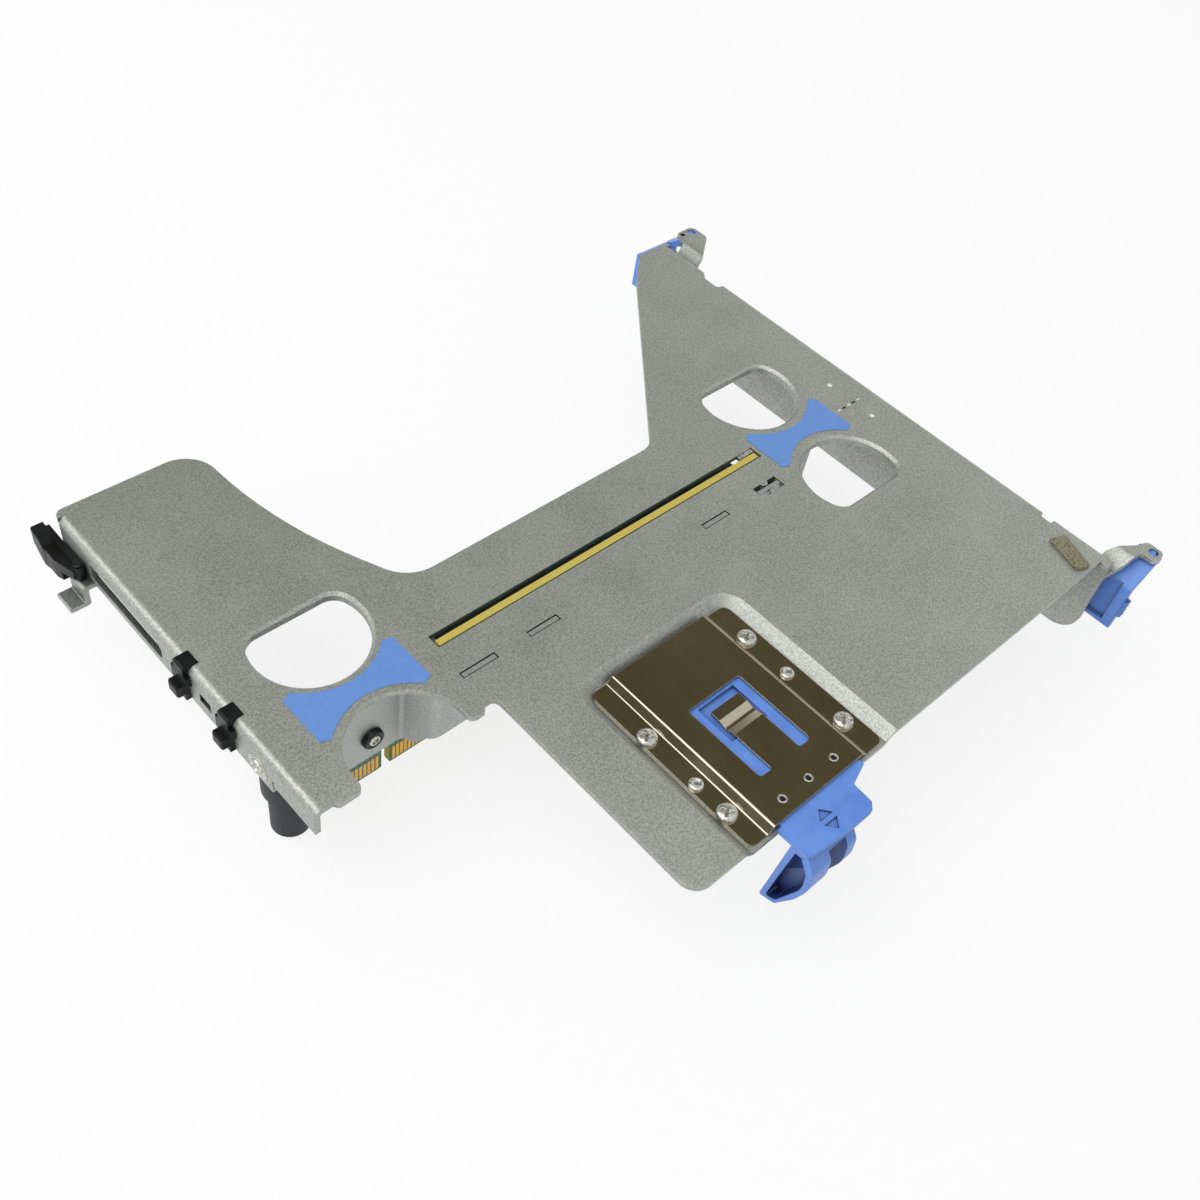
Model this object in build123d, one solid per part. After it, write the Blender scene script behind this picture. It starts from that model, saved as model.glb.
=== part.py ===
"""Riser card cage for a flat rack server, in millimetres.

X runs from the rear flange to the front flange, along the riser board.
Y runs across the board, and the card bay is on its +Y side.
Z is up. The source draws everything from the outer face of the rear flange, the
middle of the board slot and the top face of the sheet. At the end it all moves to
the part's datum: the guide pin's axis, at the underside of the pin's collar.
"""
from build123d import *
from math import pi, sin, tan
import os

# Cage sheet
CAGE_LENGTH = 176.3
SHEET = 1.2
BEND_OUTER = 1.7
BEND_INNER = BEND_OUTER - SHEET
CARD_SIDE_Y = 72.3
LATCH_SIDE_Y = -70.8
REAR_WING_WIDTH = 32.2
REAR_WING_SLOPE_RISE = 28.0
REAR_WING_SLOPE_RUN = 14.2
NECK_Y = 15.9
REAR_CORNER_Y = -17.7
LOWER_PANEL_X = 41.0
FRONT_WING_TIP_X = CAGE_LENGTH - 10.6
FRONT_WING_SLOPE_FOOT_X = 115.1

# Rear flange
REAR_FLANGE_DROP = 9.2
REAR_FLANGE_END_DROP = 6.6
REAR_WINDOW = (32.5, 59.5)
REAR_WINDOW_HEIGHT = 4.0
REAR_WINDOW_SILL = 1.6
VENT_SLOT = (15.4, 19.2)
VENT_SLOT_HEIGHT = 2.4
HOOK_TAB = (58.8, 64.2)
HOOK_TAB_STEP = 2.6
HOOK_TAB_DROP = 5.4
HOOK_TAB_REACH = 5.9
HOOK_TAB_BEND = 0.8

# Front flange and its ears
FRONT_FLANGE_DROP = 25.2
FRONT_FLANGE_Y = (-72.8, 70.6)
FRONT_FLANGE_CORNER = 6.0
FRONT_RELIEF_Y = (49.8, 54.6)
FRONT_NICK_Y = (LATCH_SIDE_Y + 14.2, LATCH_SIDE_Y + 17.6)
FRONT_NICK_INSET = 2.4
FRONT_NICK_DROP = 4.0
EAR_ROOT_Z = -5.4
EAR_SLOPE_RUN = 4.7
EAR_REACH = 11.7
EAR_BAR_HALF = 15.0
EAR_SLOPE_END_X = CAGE_LENGTH + EAR_SLOPE_RUN
EAR_END_X = CAGE_LENGTH + EAR_REACH
PEG_RIGHT = (EAR_END_X - 1.9, -76.9)
PEG_LEFT = (EAR_END_X - 2.1, 71.9)
PEG_RADIUS = 1.0
PEG_CLEARANCE = 0.15

# Finger holes and their touch labels
HOLE_RADIUS = 12.1
HOLE_CORNER = 4.0
REAR_HOLE = (22.0, 15.8)
REAR_NOTCH = (22.0, -15.9)
FRONT_HOLE_CARD_SIDE = (148.1, 15.6)
FRONT_HOLE_LATCH_SIDE = (148.1, -17.8)
HOLE_FLAT = 6.6
RIM_FLARE = 0.7
RIM_WALL = 0.9
RIM_DEPTH = 0.9
LABEL_THICKNESS = 0.1
LABEL_CORNER = 2.0
LABEL_SWEEP = 0.9
LABEL_LENGTH = 25.2
LABEL_HEIGHT = 13.2
LABEL_WAIST = 4.3

# Riser board, its edge contacts and its card slot
BOARD = 1.6
BOARD_Y = -0.35
BOARD_X = (11.0, 152.0)
BOARD_TOP_GAP = 0.4
BOARD_BOTTOM = -21.5
TOP_TONGUE = (40.6, 133.7)
BOARD_SLOT_CLEARANCE = 0.6
BOARD_SLOT_Y = (-1.5, 1.9)
EDGE_START_X = 14.4
EDGE_DROP = 7.8
EDGE_BEVEL = 0.5
PITCH = 1.0
SHORT_BANK = 11
LONG_BANK = 71
BANK_MARGIN = 0.65
KEY_WIDTH = 1.9
FINGER_WIDTH = 0.7
FINGER_HEIGHT = 4.2
FINGER_THICKNESS = 0.05
SLOT_LENGTH = 89.0
SLOT_WIDTH = 7.6
SLOT_DEPTH = 11.25
SLOT_START_X = 45.0
SLOT_CENTRE_Z = -11.6
SLOT_MOUTH = 1.8
SLOT_MOUTH_DEPTH = 8.6
CONTACT_WIDTH = 0.5
CONTACT_PROUD = 0.3

# Bracket that hangs the board under the sheet
BRACKET = 1.0
BRACKET_NEAR_Y = -3.4
BRACKET_FAR_Y = -9.5
BRACKET_X = (12.2, 151.0)
BRACKET_REAR_JOG = (29.6, 33.4)
BRACKET_FRONT_JOG = (132.2, 136.0)
BRACKET_NEAR_DROP = 17.0
BRACKET_FAR_DROP = 14.0
TAB_SPANS = ((39.4, 47.6), (56.4, 63.8), (106.8, 114.0), (124.6, 131.4))
TAB_CLEARANCE = 0.3
PINCHED_SLOT_WIDTH = 3.4
PINCH_RADIUS = 1.0
BOARD_SCREW_X = (22.2, 142.5)
BOARD_SCREW_Z = -11.6
BOARD_SCREW_SHANK = 1.25
BOARD_SCREW_HEAD = 2.4
BOARD_SCREW_HEAD_HEIGHT = 1.5
BOARD_SPACER_RADIUS = 2.6

# Pressed recess and the stainless retainer in it
RECESS_X = (53.7, 98.0)
RECESS_TOP_Y = -24.0
RECESS_DEPTH = 2.1
RECESS_WALL_ANGLE = 50
RECESS_CORNER = 6.0
RECESS_OVERRUN = 20.0
RETAINER = 0.5
RETAINER_X = (56.6, 95.0)
RETAINER_Y = (-70.2, -27.2)
RETAINER_CORNER = 1.6
RAISED_X = (62.4, 88.2)
JOGGLE = 1.4
WINDOW_X = (68.2, 82.6)
WINDOW_Y = (-61.4, -42.3)
WINDOW_ARM = 3.2
TONGUE_GAP = 2.9
BUMP_Y = (-51.9, -47.4)
BUMP_DIP = 0.6
RIVET_HOLES_X = (68.0, 75.4, 82.8)
RIVET_HOLES_Y = -67.1
RIVET_HOLE_RADIUS = 0.7
RETAINER_SCREWS = ((58.3, -41.3), (58.3, -62.3), (92.0, -36.2), (92.0, -62.3))
RETAINER_SCREW_HEAD = 2.1
RETAINER_SCREW_HEAD_HEIGHT = 1.2
RETAINER_SCREW_SHANK = 1.0
RETAINER_PINS = ((58.3, -54.4), (92.0, -47.4))
RETAINER_PIN_HEAD = 1.5
RETAINER_PIN_HEAD_HEIGHT = 0.7
RETAINER_PIN_SHANK = 0.8
HOLE_CLEARANCE = 0.1

# Sliding latch
SLIDE_CLEARANCE = 0.25
SLIDE_X = (63.9, 86.9)
SLIDE_INNER_Y = -32.0
SLIDE_TRAVEL = 4.0
PAD_X = (62.9, 81.5)
PAD_FRONT_Y = -79.3
PAD_SLOPE = 0.9
PAD_ROOT_Y = -71.3
PAD_WING_X = 88.4
GRIP_X = (63.2, 75.8)
GRIP_BACK_Y = -74.2
GRIP_DROP = 20.8
GRIP_BELLY_Y = -80.6
GRIP_WALL = 1.3
GRIP_POCKET_DEPTH = 3.0
GRIP_GAP = (68.4, 73.2)

# Guide pin under the rear corner
GUIDE_X = 5.6
GUIDE_Y = -0.1
GUIDE_TIP_Z = -30.4
GUIDE_RADIUS = 4.0
GUIDE_TIP_CHAMFER = 0.8
GUIDE_COLLAR_RADIUS = 5.1
GUIDE_COLLAR_Z = -18.4
GUIDE_COLLAR_TAPER = 1.4
GUIDE_ROOT_TOP = -1.9
RIVET_Y = 0.1
RIVET_Z = -6.1
RIVET_RADIUS = 1.2
RIVET_HEAD_RADIUS = 2.3
RIVET_HEAD_HEIGHT = 0.7

# Rear snap clips and the card latch
CLIP_YS = (24.2, 9.2)
CLIP_WIDTH = 3.2
CLIP_HOOK = 2.3
CLIP_BODY = 1.1
CLIP_FIT = 0.1
CLIP_BUTTON_REACH = 2.7
CLIP_BUTTON_Z = (-7.6, -4.8)
LATCH_PIVOT = (-1.35, 61.5)
LATCH_EYE = 1.0
LATCH_PIN_RADIUS = 0.45
LATCH_PIN_HEAD = 0.9
LATCH_PIN_CLEARANCE = 0.1
LATCH_GAP = 0.35
LATCH_TOP_Z = -5.0
LATCH_ARM_THICKNESS = 1.3
LATCH_OUTER_X = -4.3
LATCH_TIP_Y = 76.0
LATCH_HEEL_Y = 66.2

# Corner levers and their springs
LEVER_WALL = 1.8
LEVER_GAP = 2.3
LEVER_DROP = 20.0
LEVER_KINK_Z = -6.7
LEVER_LENGTH = 12.5
LEVER_OVERHANG = 1.9
LEVER_TOP = 1.6
LEVER_EAR_GAP = 0.3
LEVER_BOSS = 2.4
LEFT_LEVER_TURN = -90
SPRING_RADIUS = 1.5
SPRING_WIRE = 0.25
SPRING_TURNS = 3
SPRING_GAP = 0.3
SPRING_Z = -9.4
SPRING_Y = -70.4

# Foam pad on the front corner
PAD_CORNERS = (
    (CAGE_LENGTH - 7.4, LATCH_SIDE_Y + 11.4), (CAGE_LENGTH - 2.9, LATCH_SIDE_Y + 10.0),
    (CAGE_LENGTH - 7.4, LATCH_SIDE_Y + 0.4), (CAGE_LENGTH - 11.4, LATCH_SIDE_Y + 1.4))
PAD_THICKNESS = 0.8


def outline(corners):
    """A flat face from corners of (x, y) or (x, y, radius)."""
    count = len(corners)
    ends = []
    pieces = []
    for i, corner in enumerate(corners):
        here = Vector(corner[0], corner[1])
        before = Vector(*corners[i - 1][:2])
        after = Vector(*corners[(i + 1) % count][:2])
        radius = corner[2] if len(corner) > 2 else 0
        if not radius:
            ends.append((here, here))
            continue
        to_before = (before - here).normalized()
        to_after = (after - here).normalized()
        half = to_before.get_angle(to_after) / 2 * pi / 180
        start = here + to_before * (radius / tan(half))
        end = here + to_after * (radius / tan(half))
        middle = here + (to_before + to_after).normalized() * (radius / sin(half) - radius)
        pieces.append(ThreePointArc(start, middle, end))
        ends.append((start, end))
    for i in range(count):
        leave = ends[i][1]
        arrive = ends[(i + 1) % count][0]
        if (arrive - leave).length > 1e-6:
            pieces.append(Line(leave, arrive))
    return make_face(pieces)


def flat(corners, top, thickness):
    """A panel in the XY plane, from its top face down."""
    return extrude(Plane.XY.offset(top - thickness) * outline(corners), amount=thickness)


def along_y(corners, y_low, y_high):
    """A bar whose section is drawn in X and Z."""
    section = Plane(origin=(0, y_high, 0), x_dir=(1, 0, 0), z_dir=(0, -1, 0)) * outline(corners)
    return extrude(section, amount=y_high - y_low)


def along_x(corners, x_low, x_high):
    """A bar whose section is drawn in Y and Z."""
    section = Plane(origin=(x_low, 0, 0), x_dir=(0, 1, 0), z_dir=(1, 0, 0)) * outline(corners)
    return extrude(section, amount=x_high - x_low)


def block(x_low, x_high, y_low, y_high, z_low, z_high):
    """A plain block between two corners."""
    size = (x_high - x_low, y_high - y_low, z_high - z_low)
    centre = ((x_low + x_high) / 2, (y_low + y_high) / 2, (z_low + z_high) / 2)
    return Pos(*centre) * Box(*size)


def upright(x, y, z_low, z_high, radius, tip=None):
    """A round pin along Z, tapered when its tip at z_low has its own radius."""
    height = z_high - z_low
    centre = Pos(x, y, (z_low + z_high) / 2)
    if tip is None:
        return centre * Cylinder(radius, height)
    return centre * Cone(tip, radius, height)


def lying_y(x, z, y_low, y_high, radius):
    """A round pin along Y."""
    return Pos(x, (y_low + y_high) / 2, z) * Rot(90, 0, 0) * Cylinder(radius, y_high - y_low)


def lying_x(y, z, x_low, x_high, radius):
    """A round pin along X."""
    return Pos((x_low + x_high) / 2, y, z) * Rot(0, 90, 0) * Cylinder(radius, x_high - x_low)


def finger_hole(centre, away):
    """The outline of a round finger hole, cut flat on the side away from the label."""
    x, y = centre
    reach = HOLE_RADIUS + HOLE_FLAT
    middle = y + away * (HOLE_FLAT - reach / 2)
    disc = Pos(x, y) * Circle(HOLE_RADIUS)
    face = disc & Pos(x, middle) * Rectangle(2 * HOLE_RADIUS, reach)
    sharp = [v for v in face.vertices() if abs(v.Y - (y + away * HOLE_FLAT)) < 0.01]
    return fillet(sharp, HOLE_CORNER)


def add_finger_hole(cage, face):
    """Cut one finger hole, flare its top edge and leave a drawn rim below it."""
    low = -SHEET - RIM_DEPTH
    wide = offset(face, amount=RIM_WALL)
    cage += Pos(0, 0, low) * extrude(wide, amount=-low - SHEET / 2)
    cage -= Pos(0, 0, low - 1) * extrude(face, amount=2 - low)
    return cage - extrude(offset(face, amount=RIM_FLARE), amount=-RIM_FLARE, taper=45)


def sheet_outline():
    """The flat sheet between its two flanges, with the open finger notch."""
    notch_x, notch_y = REAR_NOTCH
    notch_top = notch_y + HOLE_RADIUS
    left = notch_x - HOLE_RADIUS
    right = notch_x + HOLE_RADIUS
    lobe = REAR_CORNER_Y - 1.0
    return [
        (0, CARD_SIDE_Y, 2.0),
        (REAR_WING_WIDTH, CARD_SIDE_Y, 7.5),
        (REAR_WING_WIDTH + 1.4, NECK_Y + REAR_WING_SLOPE_RISE, 100),
        (REAR_WING_WIDTH + REAR_WING_SLOPE_RUN, NECK_Y, 9),
        (FRONT_WING_SLOPE_FOOT_X, NECK_Y, 6),
        (FRONT_WING_TIP_X - 9.2, CARD_SIDE_Y - 9.0, 3),
        (FRONT_WING_TIP_X, CARD_SIDE_Y - 0.6, 1),
        (CAGE_LENGTH, CARD_SIDE_Y - 0.3, 0.5),
        (CAGE_LENGTH, LATCH_SIDE_Y, 0.6),
        (LOWER_PANEL_X, LATCH_SIDE_Y, 4),
        (LOWER_PANEL_X, REAR_CORNER_Y + 0.6, 1.9),
        (LOWER_PANEL_X - 2.4, REAR_CORNER_Y + 0.6, 0.7),
        (LOWER_PANEL_X - 3.6, lobe, 0.9),
        (right, lobe, 1.6),
        (right, notch_top, HOLE_RADIUS - 0.01),
        (left, notch_top, HOLE_RADIUS - 0.01),
        (left, lobe, 1.6),
        (4.6, lobe, 0.6),
        (3.9, REAR_CORNER_Y, 0.3),
        (0, REAR_CORNER_Y),
    ]


def bend_section(outer, inward, drop):
    """The section of a flange that bends down at x = outer, inward is +1 or -1."""
    inner = outer + inward * SHEET
    return [
        (outer, 0, BEND_OUTER),
        (outer, -drop),
        (inner, -drop),
        (inner, -SHEET, BEND_INNER),
        (outer + inward * 2 * BEND_OUTER, -SHEET),
        (outer + inward * 2 * BEND_OUTER, 0),
    ]


def tab_slots():
    """Slots in the sheet for the bracket's tabs, the last one wide and pinched at its middle."""
    slots = []
    for start, end in TAB_SPANS:
        half = BRACKET / 2 + TAB_CLEARANCE
        if (start, end) == TAB_SPANS[-1]:
            half = PINCHED_SLOT_WIDTH / 2
        slots.append(block(start - TAB_CLEARANCE, end + TAB_CLEARANCE, BRACKET_FAR_Y - half,
                           BRACKET_FAR_Y + half, -SHEET - 1, 1))
    middle = (TAB_SPANS[-1][0] + TAB_SPANS[-1][1]) / 2
    for side in (-1, 1):
        edge = BRACKET_FAR_Y + side * PINCHED_SLOT_WIDTH / 2
        slots[-1] -= upright(middle, edge, -SHEET - 2, 2, PINCH_RADIUS)
    return slots


def recess_outline(grow):
    """The recess seen from above, open past the latch side of the sheet."""
    left = RECESS_X[0] - grow
    right = RECESS_X[1] + grow
    far = LATCH_SIDE_Y - RECESS_OVERRUN
    top = RECESS_TOP_Y + grow
    radius = RECESS_CORNER + grow
    return outline([(left, far), (left, top, radius), (right, top, radius), (right, far)])


def rear_flange():
    """The rear flange with its window, vent slot, clip notches and stepped end."""
    flange = along_y(bend_section(0, 1, REAR_FLANGE_DROP), REAR_CORNER_Y, CARD_SIDE_Y - 2)
    window_low = -REAR_FLANGE_DROP + REAR_WINDOW_SILL
    window = [
        (REAR_WINDOW[0], window_low, 1.2),
        (REAR_WINDOW[0], window_low + REAR_WINDOW_HEIGHT, 1.9),
        (REAR_WINDOW[1], window_low + REAR_WINDOW_HEIGHT, 1.9),
        (REAR_WINDOW[1], window_low, 1.2),
    ]
    flange -= along_x(window, -1, SHEET + 1)
    flange -= block(-1, SHEET + 1, *VENT_SLOT, -6.4, -6.4 + VENT_SLOT_HEIGHT)
    flange -= block(-1, SHEET + 1, REAR_CORNER_Y - 1, -4.4, -REAR_FLANGE_DROP - 1,
                    -REAR_FLANGE_END_DROP)
    flange -= block(-1, SHEET + 1, -5.2, -4.4, -REAR_FLANGE_DROP, -5.2)
    return flange + along_y(hook_tab_section(), *HOOK_TAB)


def hook_tab_section():
    """The chassis hook: out from the flange's lower edge, down, then out again."""
    ledge = -REAR_FLANGE_DROP
    foot = ledge - HOOK_TAB_DROP
    step = -HOOK_TAB_STEP
    return [
        (0, ledge + 1),
        (0, ledge),
        (step, ledge, HOOK_TAB_BEND),
        (step, foot + SHEET, 0.3),
        (-HOOK_TAB_REACH, foot + SHEET, 0.3),
        (-HOOK_TAB_REACH, foot, 0.3),
        (step + SHEET, foot, HOOK_TAB_BEND),
        (step + SHEET, ledge - SHEET, 0.3),
        (SHEET, ledge - SHEET, HOOK_TAB_BEND),
        (SHEET, ledge + 1),
    ]


def front_flange():
    """The front flange with its rounded lower corner and two relief cuts at the bend."""
    low, high = FRONT_FLANGE_Y
    flange = along_y(bend_section(CAGE_LENGTH, -1, FRONT_FLANGE_DROP), low, high)
    corner = FRONT_FLANGE_CORNER
    shape = [(low, 1), (low, -FRONT_FLANGE_DROP, corner), (high, -FRONT_FLANGE_DROP, corner),
             (high, 1)]
    flange &= along_x(shape, CAGE_LENGTH - 9, CAGE_LENGTH + 1)
    flange -= block(CAGE_LENGTH - FRONT_NICK_INSET, CAGE_LENGTH + 1, *FRONT_NICK_Y, -FRONT_NICK_DROP, 1)
    relief = [(CAGE_LENGTH - 2.9, FRONT_RELIEF_Y[0], 1), (CAGE_LENGTH - 2.9, FRONT_RELIEF_Y[1], 1.5),
              (CAGE_LENGTH + 1, FRONT_RELIEF_Y[1] + 4.4), (CAGE_LENGTH + 1, FRONT_RELIEF_Y[0])]
    return flange - flat(relief, 1, 5)


def corner_ears():
    """Two arms bent out of the front flange, ending in the flat ears of the lever pegs."""
    root = CAGE_LENGTH - SHEET / 2
    rise = EAR_SLOPE_END_X
    section = [
        (root, EAR_ROOT_Z - SHEET / 2), (rise + 0.5, -SHEET, 1.2), (EAR_END_X + 1, -SHEET),
        (EAR_END_X + 1, 0), (rise, 0, 2.2), (root, EAR_ROOT_Z + SHEET * 0.8),
    ]
    right = [
        (root, FRONT_FLANGE_Y[0]), (root, FRONT_FLANGE_Y[0] + 4.2), (rise - 2, FRONT_FLANGE_Y[0] + 3.6, 2),
        (EAR_END_X - 3, PEG_RIGHT[1] + 3.6, 2), (EAR_END_X, PEG_RIGHT[1] + 2.7, 1.2),
        (EAR_END_X, PEG_RIGHT[1] - 2.0, 1.5), (PEG_RIGHT[0] - 2.4, PEG_RIGHT[1] - 2.0, 1.2),
        (PEG_RIGHT[0] - 2.4, PEG_RIGHT[1] + 1.4, 0.8), (rise - 2, PEG_RIGHT[1] + 2.4, 1.5),
    ]
    left = [
        (root, PEG_LEFT[1] - 11.0), (rise, PEG_LEFT[1] - 9.4, 2), (EAR_END_X, PEG_LEFT[1] - 4.0, 2.2),
        (EAR_END_X, PEG_LEFT[1] + 1.9, 1.8), (PEG_LEFT[0] - 4.0, PEG_LEFT[1] + 1.7, 1.2),
        (PEG_LEFT[0] - 5.3, PEG_LEFT[1] - 2.2, 0.6), (root, PEG_LEFT[1] - 3.4),
    ]
    ears = []
    for shape, peg in ((right, PEG_RIGHT), (left, PEG_LEFT)):
        bar = along_y(section, peg[1] - EAR_BAR_HALF, peg[1] + EAR_BAR_HALF)
        ear = bar & flat(shape, 2, 12)
        ears.append(ear - upright(peg[0], peg[1], -SHEET - 1, 1, PEG_RADIUS + PEG_CLEARANCE))
    keyhole = upright(PEG_LEFT[0] - 3.0, PEG_LEFT[1] + 0.4, -SHEET - 1, 1, 0.7)
    return ears[0] + (ears[1] - keyhole)


def make_cage():
    """The folded sheet: top, recess, both flanges and the ears."""
    cage = flat(sheet_outline(), 0, SHEET)
    cage -= block(-1, 2 * BEND_OUTER, REAR_CORNER_Y - 1, CARD_SIDE_Y - 2, -SHEET - 1, 1)
    front_start = CAGE_LENGTH - 2 * BEND_OUTER
    cage -= block(front_start, CAGE_LENGTH + 1, LATCH_SIDE_Y - 1, FRONT_FLANGE_Y[1], -SHEET - 1, 1)
    cage += rear_flange()
    cage += front_flange()
    cage += corner_ears()
    floor = RECESS_DEPTH + SHEET
    dish = extrude(recess_outline(0.8), amount=-floor, taper=RECESS_WALL_ANGLE)
    punch = extrude(recess_outline(0), amount=-RECESS_DEPTH, taper=RECESS_WALL_ANGLE)
    dish &= block(0, CAGE_LENGTH, LATCH_SIDE_Y, 0, -floor, 0)
    cage += dish
    cage -= punch
    cage -= block(TOP_TONGUE[0] - BOARD_SLOT_CLEARANCE, TOP_TONGUE[1] + BOARD_SLOT_CLEARANCE,
                  *BOARD_SLOT_Y, -SHEET - 1, 1)
    for slot in tab_slots():
        cage -= slot
    cage = add_finger_hole(cage, finger_hole(REAR_HOLE, 1))
    cage = add_finger_hole(cage, finger_hole(FRONT_HOLE_CARD_SIDE, 1))
    cage = add_finger_hole(cage, finger_hole(FRONT_HOLE_LATCH_SIDE, -1))
    for y in CLIP_YS:
        half = CLIP_WIDTH / 2 + CLIP_FIT
        cage -= block(-1, CLIP_HOOK + CLIP_FIT, y - half, y + half, -REAR_FLANGE_DROP / 2, 1)
    for x, y in RETAINER_SCREWS:
        cage -= upright(x, y, -floor - 1, 0, RETAINER_SCREW_SHANK)
    for x, y in RETAINER_PINS:
        cage -= upright(x, y, -floor - 1, 0, RETAINER_PIN_SHANK)
    cage -= lying_x(RIVET_Y, RIVET_Z, -1, SHEET + 1, RIVET_RADIUS)
    x, y = LATCH_PIVOT
    ledge = -REAR_FLANGE_DROP
    return cage - upright(x, y, ledge - SHEET - 0.5, ledge + 0.1, LATCH_PIN_RADIUS)


def make_bracket():
    """The folded strip that screws to the board and hooks up through the sheet."""
    near = BRACKET_NEAR_Y
    far = BRACKET_FAR_Y
    rear_jog = BRACKET_REAR_JOG
    front_jog = BRACKET_FRONT_JOG
    half = BRACKET / 2
    path = FilletPolyline(
        (BRACKET_X[0], near), (rear_jog[0], near), (rear_jog[1], far), (front_jog[0], far),
        (front_jog[1], near), (BRACKET_X[1], near), radius=1.8)
    strip = make_face(offset(path, amount=half, side=Side.BOTH))
    top = -SHEET
    strip = Pos(0, 0, top - BRACKET_NEAR_DROP) * extrude(strip, amount=BRACKET_NEAR_DROP)
    low = top - BRACKET_NEAR_DROP
    middle = [
        (rear_jog[0] + 1, low - 1),
        (rear_jog[1] - 1.4, top - BRACKET_FAR_DROP, 2.5),
        (front_jog[0] + 1.4, top - BRACKET_FAR_DROP, 2.5),
        (front_jog[1] - 1, low - 1),
    ]
    strip -= along_y(middle, far - 2, near + 2)
    for start, end in TAB_SPANS:
        strip += block(start, end, far - half, far + half, top, -0.1)
    for x in BOARD_SCREW_X:
        strip -= lying_y(x, BOARD_SCREW_Z, near - 2, near + 2, BOARD_SCREW_SHANK + HOLE_CLEARANCE)
    return strip


def make_board():
    """The board with its top tongue, its keyed edge and its screw holes."""
    top = -SHEET - BOARD_TOP_GAP
    edge_low = BOARD_BOTTOM - EDGE_DROP
    key = EDGE_START_X + 2 * BANK_MARGIN + SHORT_BANK * PITCH
    edge_end = key + KEY_WIDTH + 2 * BANK_MARGIN + LONG_BANK * PITCH
    corners = [
        (BOARD_X[0], top, 1), (TOP_TONGUE[0], top), (TOP_TONGUE[0], -0.15), (TOP_TONGUE[1], -0.15),
        (TOP_TONGUE[1], top), (BOARD_X[1], top, 1), (BOARD_X[1], BOARD_BOTTOM, 1),
        (edge_end + 2, BOARD_BOTTOM, 1), (edge_end, edge_low, EDGE_BEVEL),
        (key + KEY_WIDTH, edge_low, EDGE_BEVEL), (key + KEY_WIDTH, edge_low + 9, 0.9),
        (key, edge_low + 9, 0.9), (key, edge_low, EDGE_BEVEL), (EDGE_START_X, edge_low, EDGE_BEVEL),
        (EDGE_START_X, BOARD_BOTTOM, 0.8), (BOARD_X[0], BOARD_BOTTOM, 1),
    ]
    board = along_y(corners, BOARD_Y - BOARD / 2, BOARD_Y + BOARD / 2)
    for x in BOARD_SCREW_X:
        board -= lying_y(x, BOARD_SCREW_Z, BOARD_Y - 2, BOARD_Y + 2, BOARD_SCREW_SHANK)
    return board


def finger_places():
    """The X centre of each edge contact, in the short bank and the long one."""
    short = EDGE_START_X + BANK_MARGIN + PITCH / 2
    key = EDGE_START_X + 2 * BANK_MARGIN + SHORT_BANK * PITCH
    long = key + KEY_WIDTH + BANK_MARGIN + PITCH / 2
    places = [short + i * PITCH for i in range(SHORT_BANK)]
    return places + [long + i * PITCH for i in range(LONG_BANK)]


def make_fingers():
    """Gold contacts on both faces of the lower edge."""
    low = BOARD_BOTTOM - EDGE_DROP + 0.6
    fingers = []
    for x in finger_places():
        for face in (BOARD_Y - BOARD / 2 - FINGER_THICKNESS, BOARD_Y + BOARD / 2):
            fingers.append(block(x - FINGER_WIDTH / 2, x + FINGER_WIDTH / 2, face,
                                 face + FINGER_THICKNESS, low, low + FINGER_HEIGHT))
    return fingers


def make_slot():
    """The card slot housing, with its keyed mouth and its end tower."""
    back = BOARD_Y + BOARD / 2
    front = back + SLOT_DEPTH
    end = SLOT_START_X + SLOT_LENGTH
    low = SLOT_CENTRE_Z - SLOT_WIDTH / 2
    high = SLOT_CENTRE_Z + SLOT_WIDTH / 2
    section = [
        (back, low), (back, high), (front - 1.2, high), (front, high - 1.0),
        (front, low + 1.0), (front - 1.2, low),
    ]
    housing = along_x(section, SLOT_START_X, end)
    half = SLOT_MOUTH / 2
    key = slot_key_x()
    deep = front - SLOT_MOUTH_DEPTH
    housing -= block(SLOT_START_X + 1.6, key - 0.8, deep, front + 1, SLOT_CENTRE_Z - half,
                     SLOT_CENTRE_Z + half)
    housing -= block(key + 0.8, end - 1.6, deep, front + 1, SLOT_CENTRE_Z - half,
                     SLOT_CENTRE_Z + half)
    return housing


def slot_key_x():
    """The middle of the rib that keys the card."""
    return SLOT_START_X + 1.6 + SHORT_BANK * PITCH + 2 * BANK_MARGIN + KEY_WIDTH / 2


def make_contacts():
    """Two rows of contact blades inside the slot mouth."""
    front = BOARD_Y + BOARD / 2 + SLOT_DEPTH
    key = slot_key_x()
    first = key - KEY_WIDTH / 2 - BANK_MARGIN - (SHORT_BANK - 0.5) * PITCH
    second = key + KEY_WIDTH / 2 + BANK_MARGIN + 0.5 * PITCH
    places = [first + i * PITCH for i in range(SHORT_BANK)]
    places += [second + i * PITCH for i in range(LONG_BANK)]
    places = [x for x in places if x < SLOT_START_X + SLOT_LENGTH - 2.2]
    half = SLOT_MOUTH / 2
    blades = []
    for x in places:
        for low in (SLOT_CENTRE_Z - half, SLOT_CENTRE_Z + half - CONTACT_PROUD):
            blades.append(block(x - CONTACT_WIDTH / 2, x + CONTACT_WIDTH / 2,
                                front - SLOT_MOUTH_DEPTH + 0.6, front - 2.0, low,
                                low + CONTACT_PROUD))
    return blades


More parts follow.
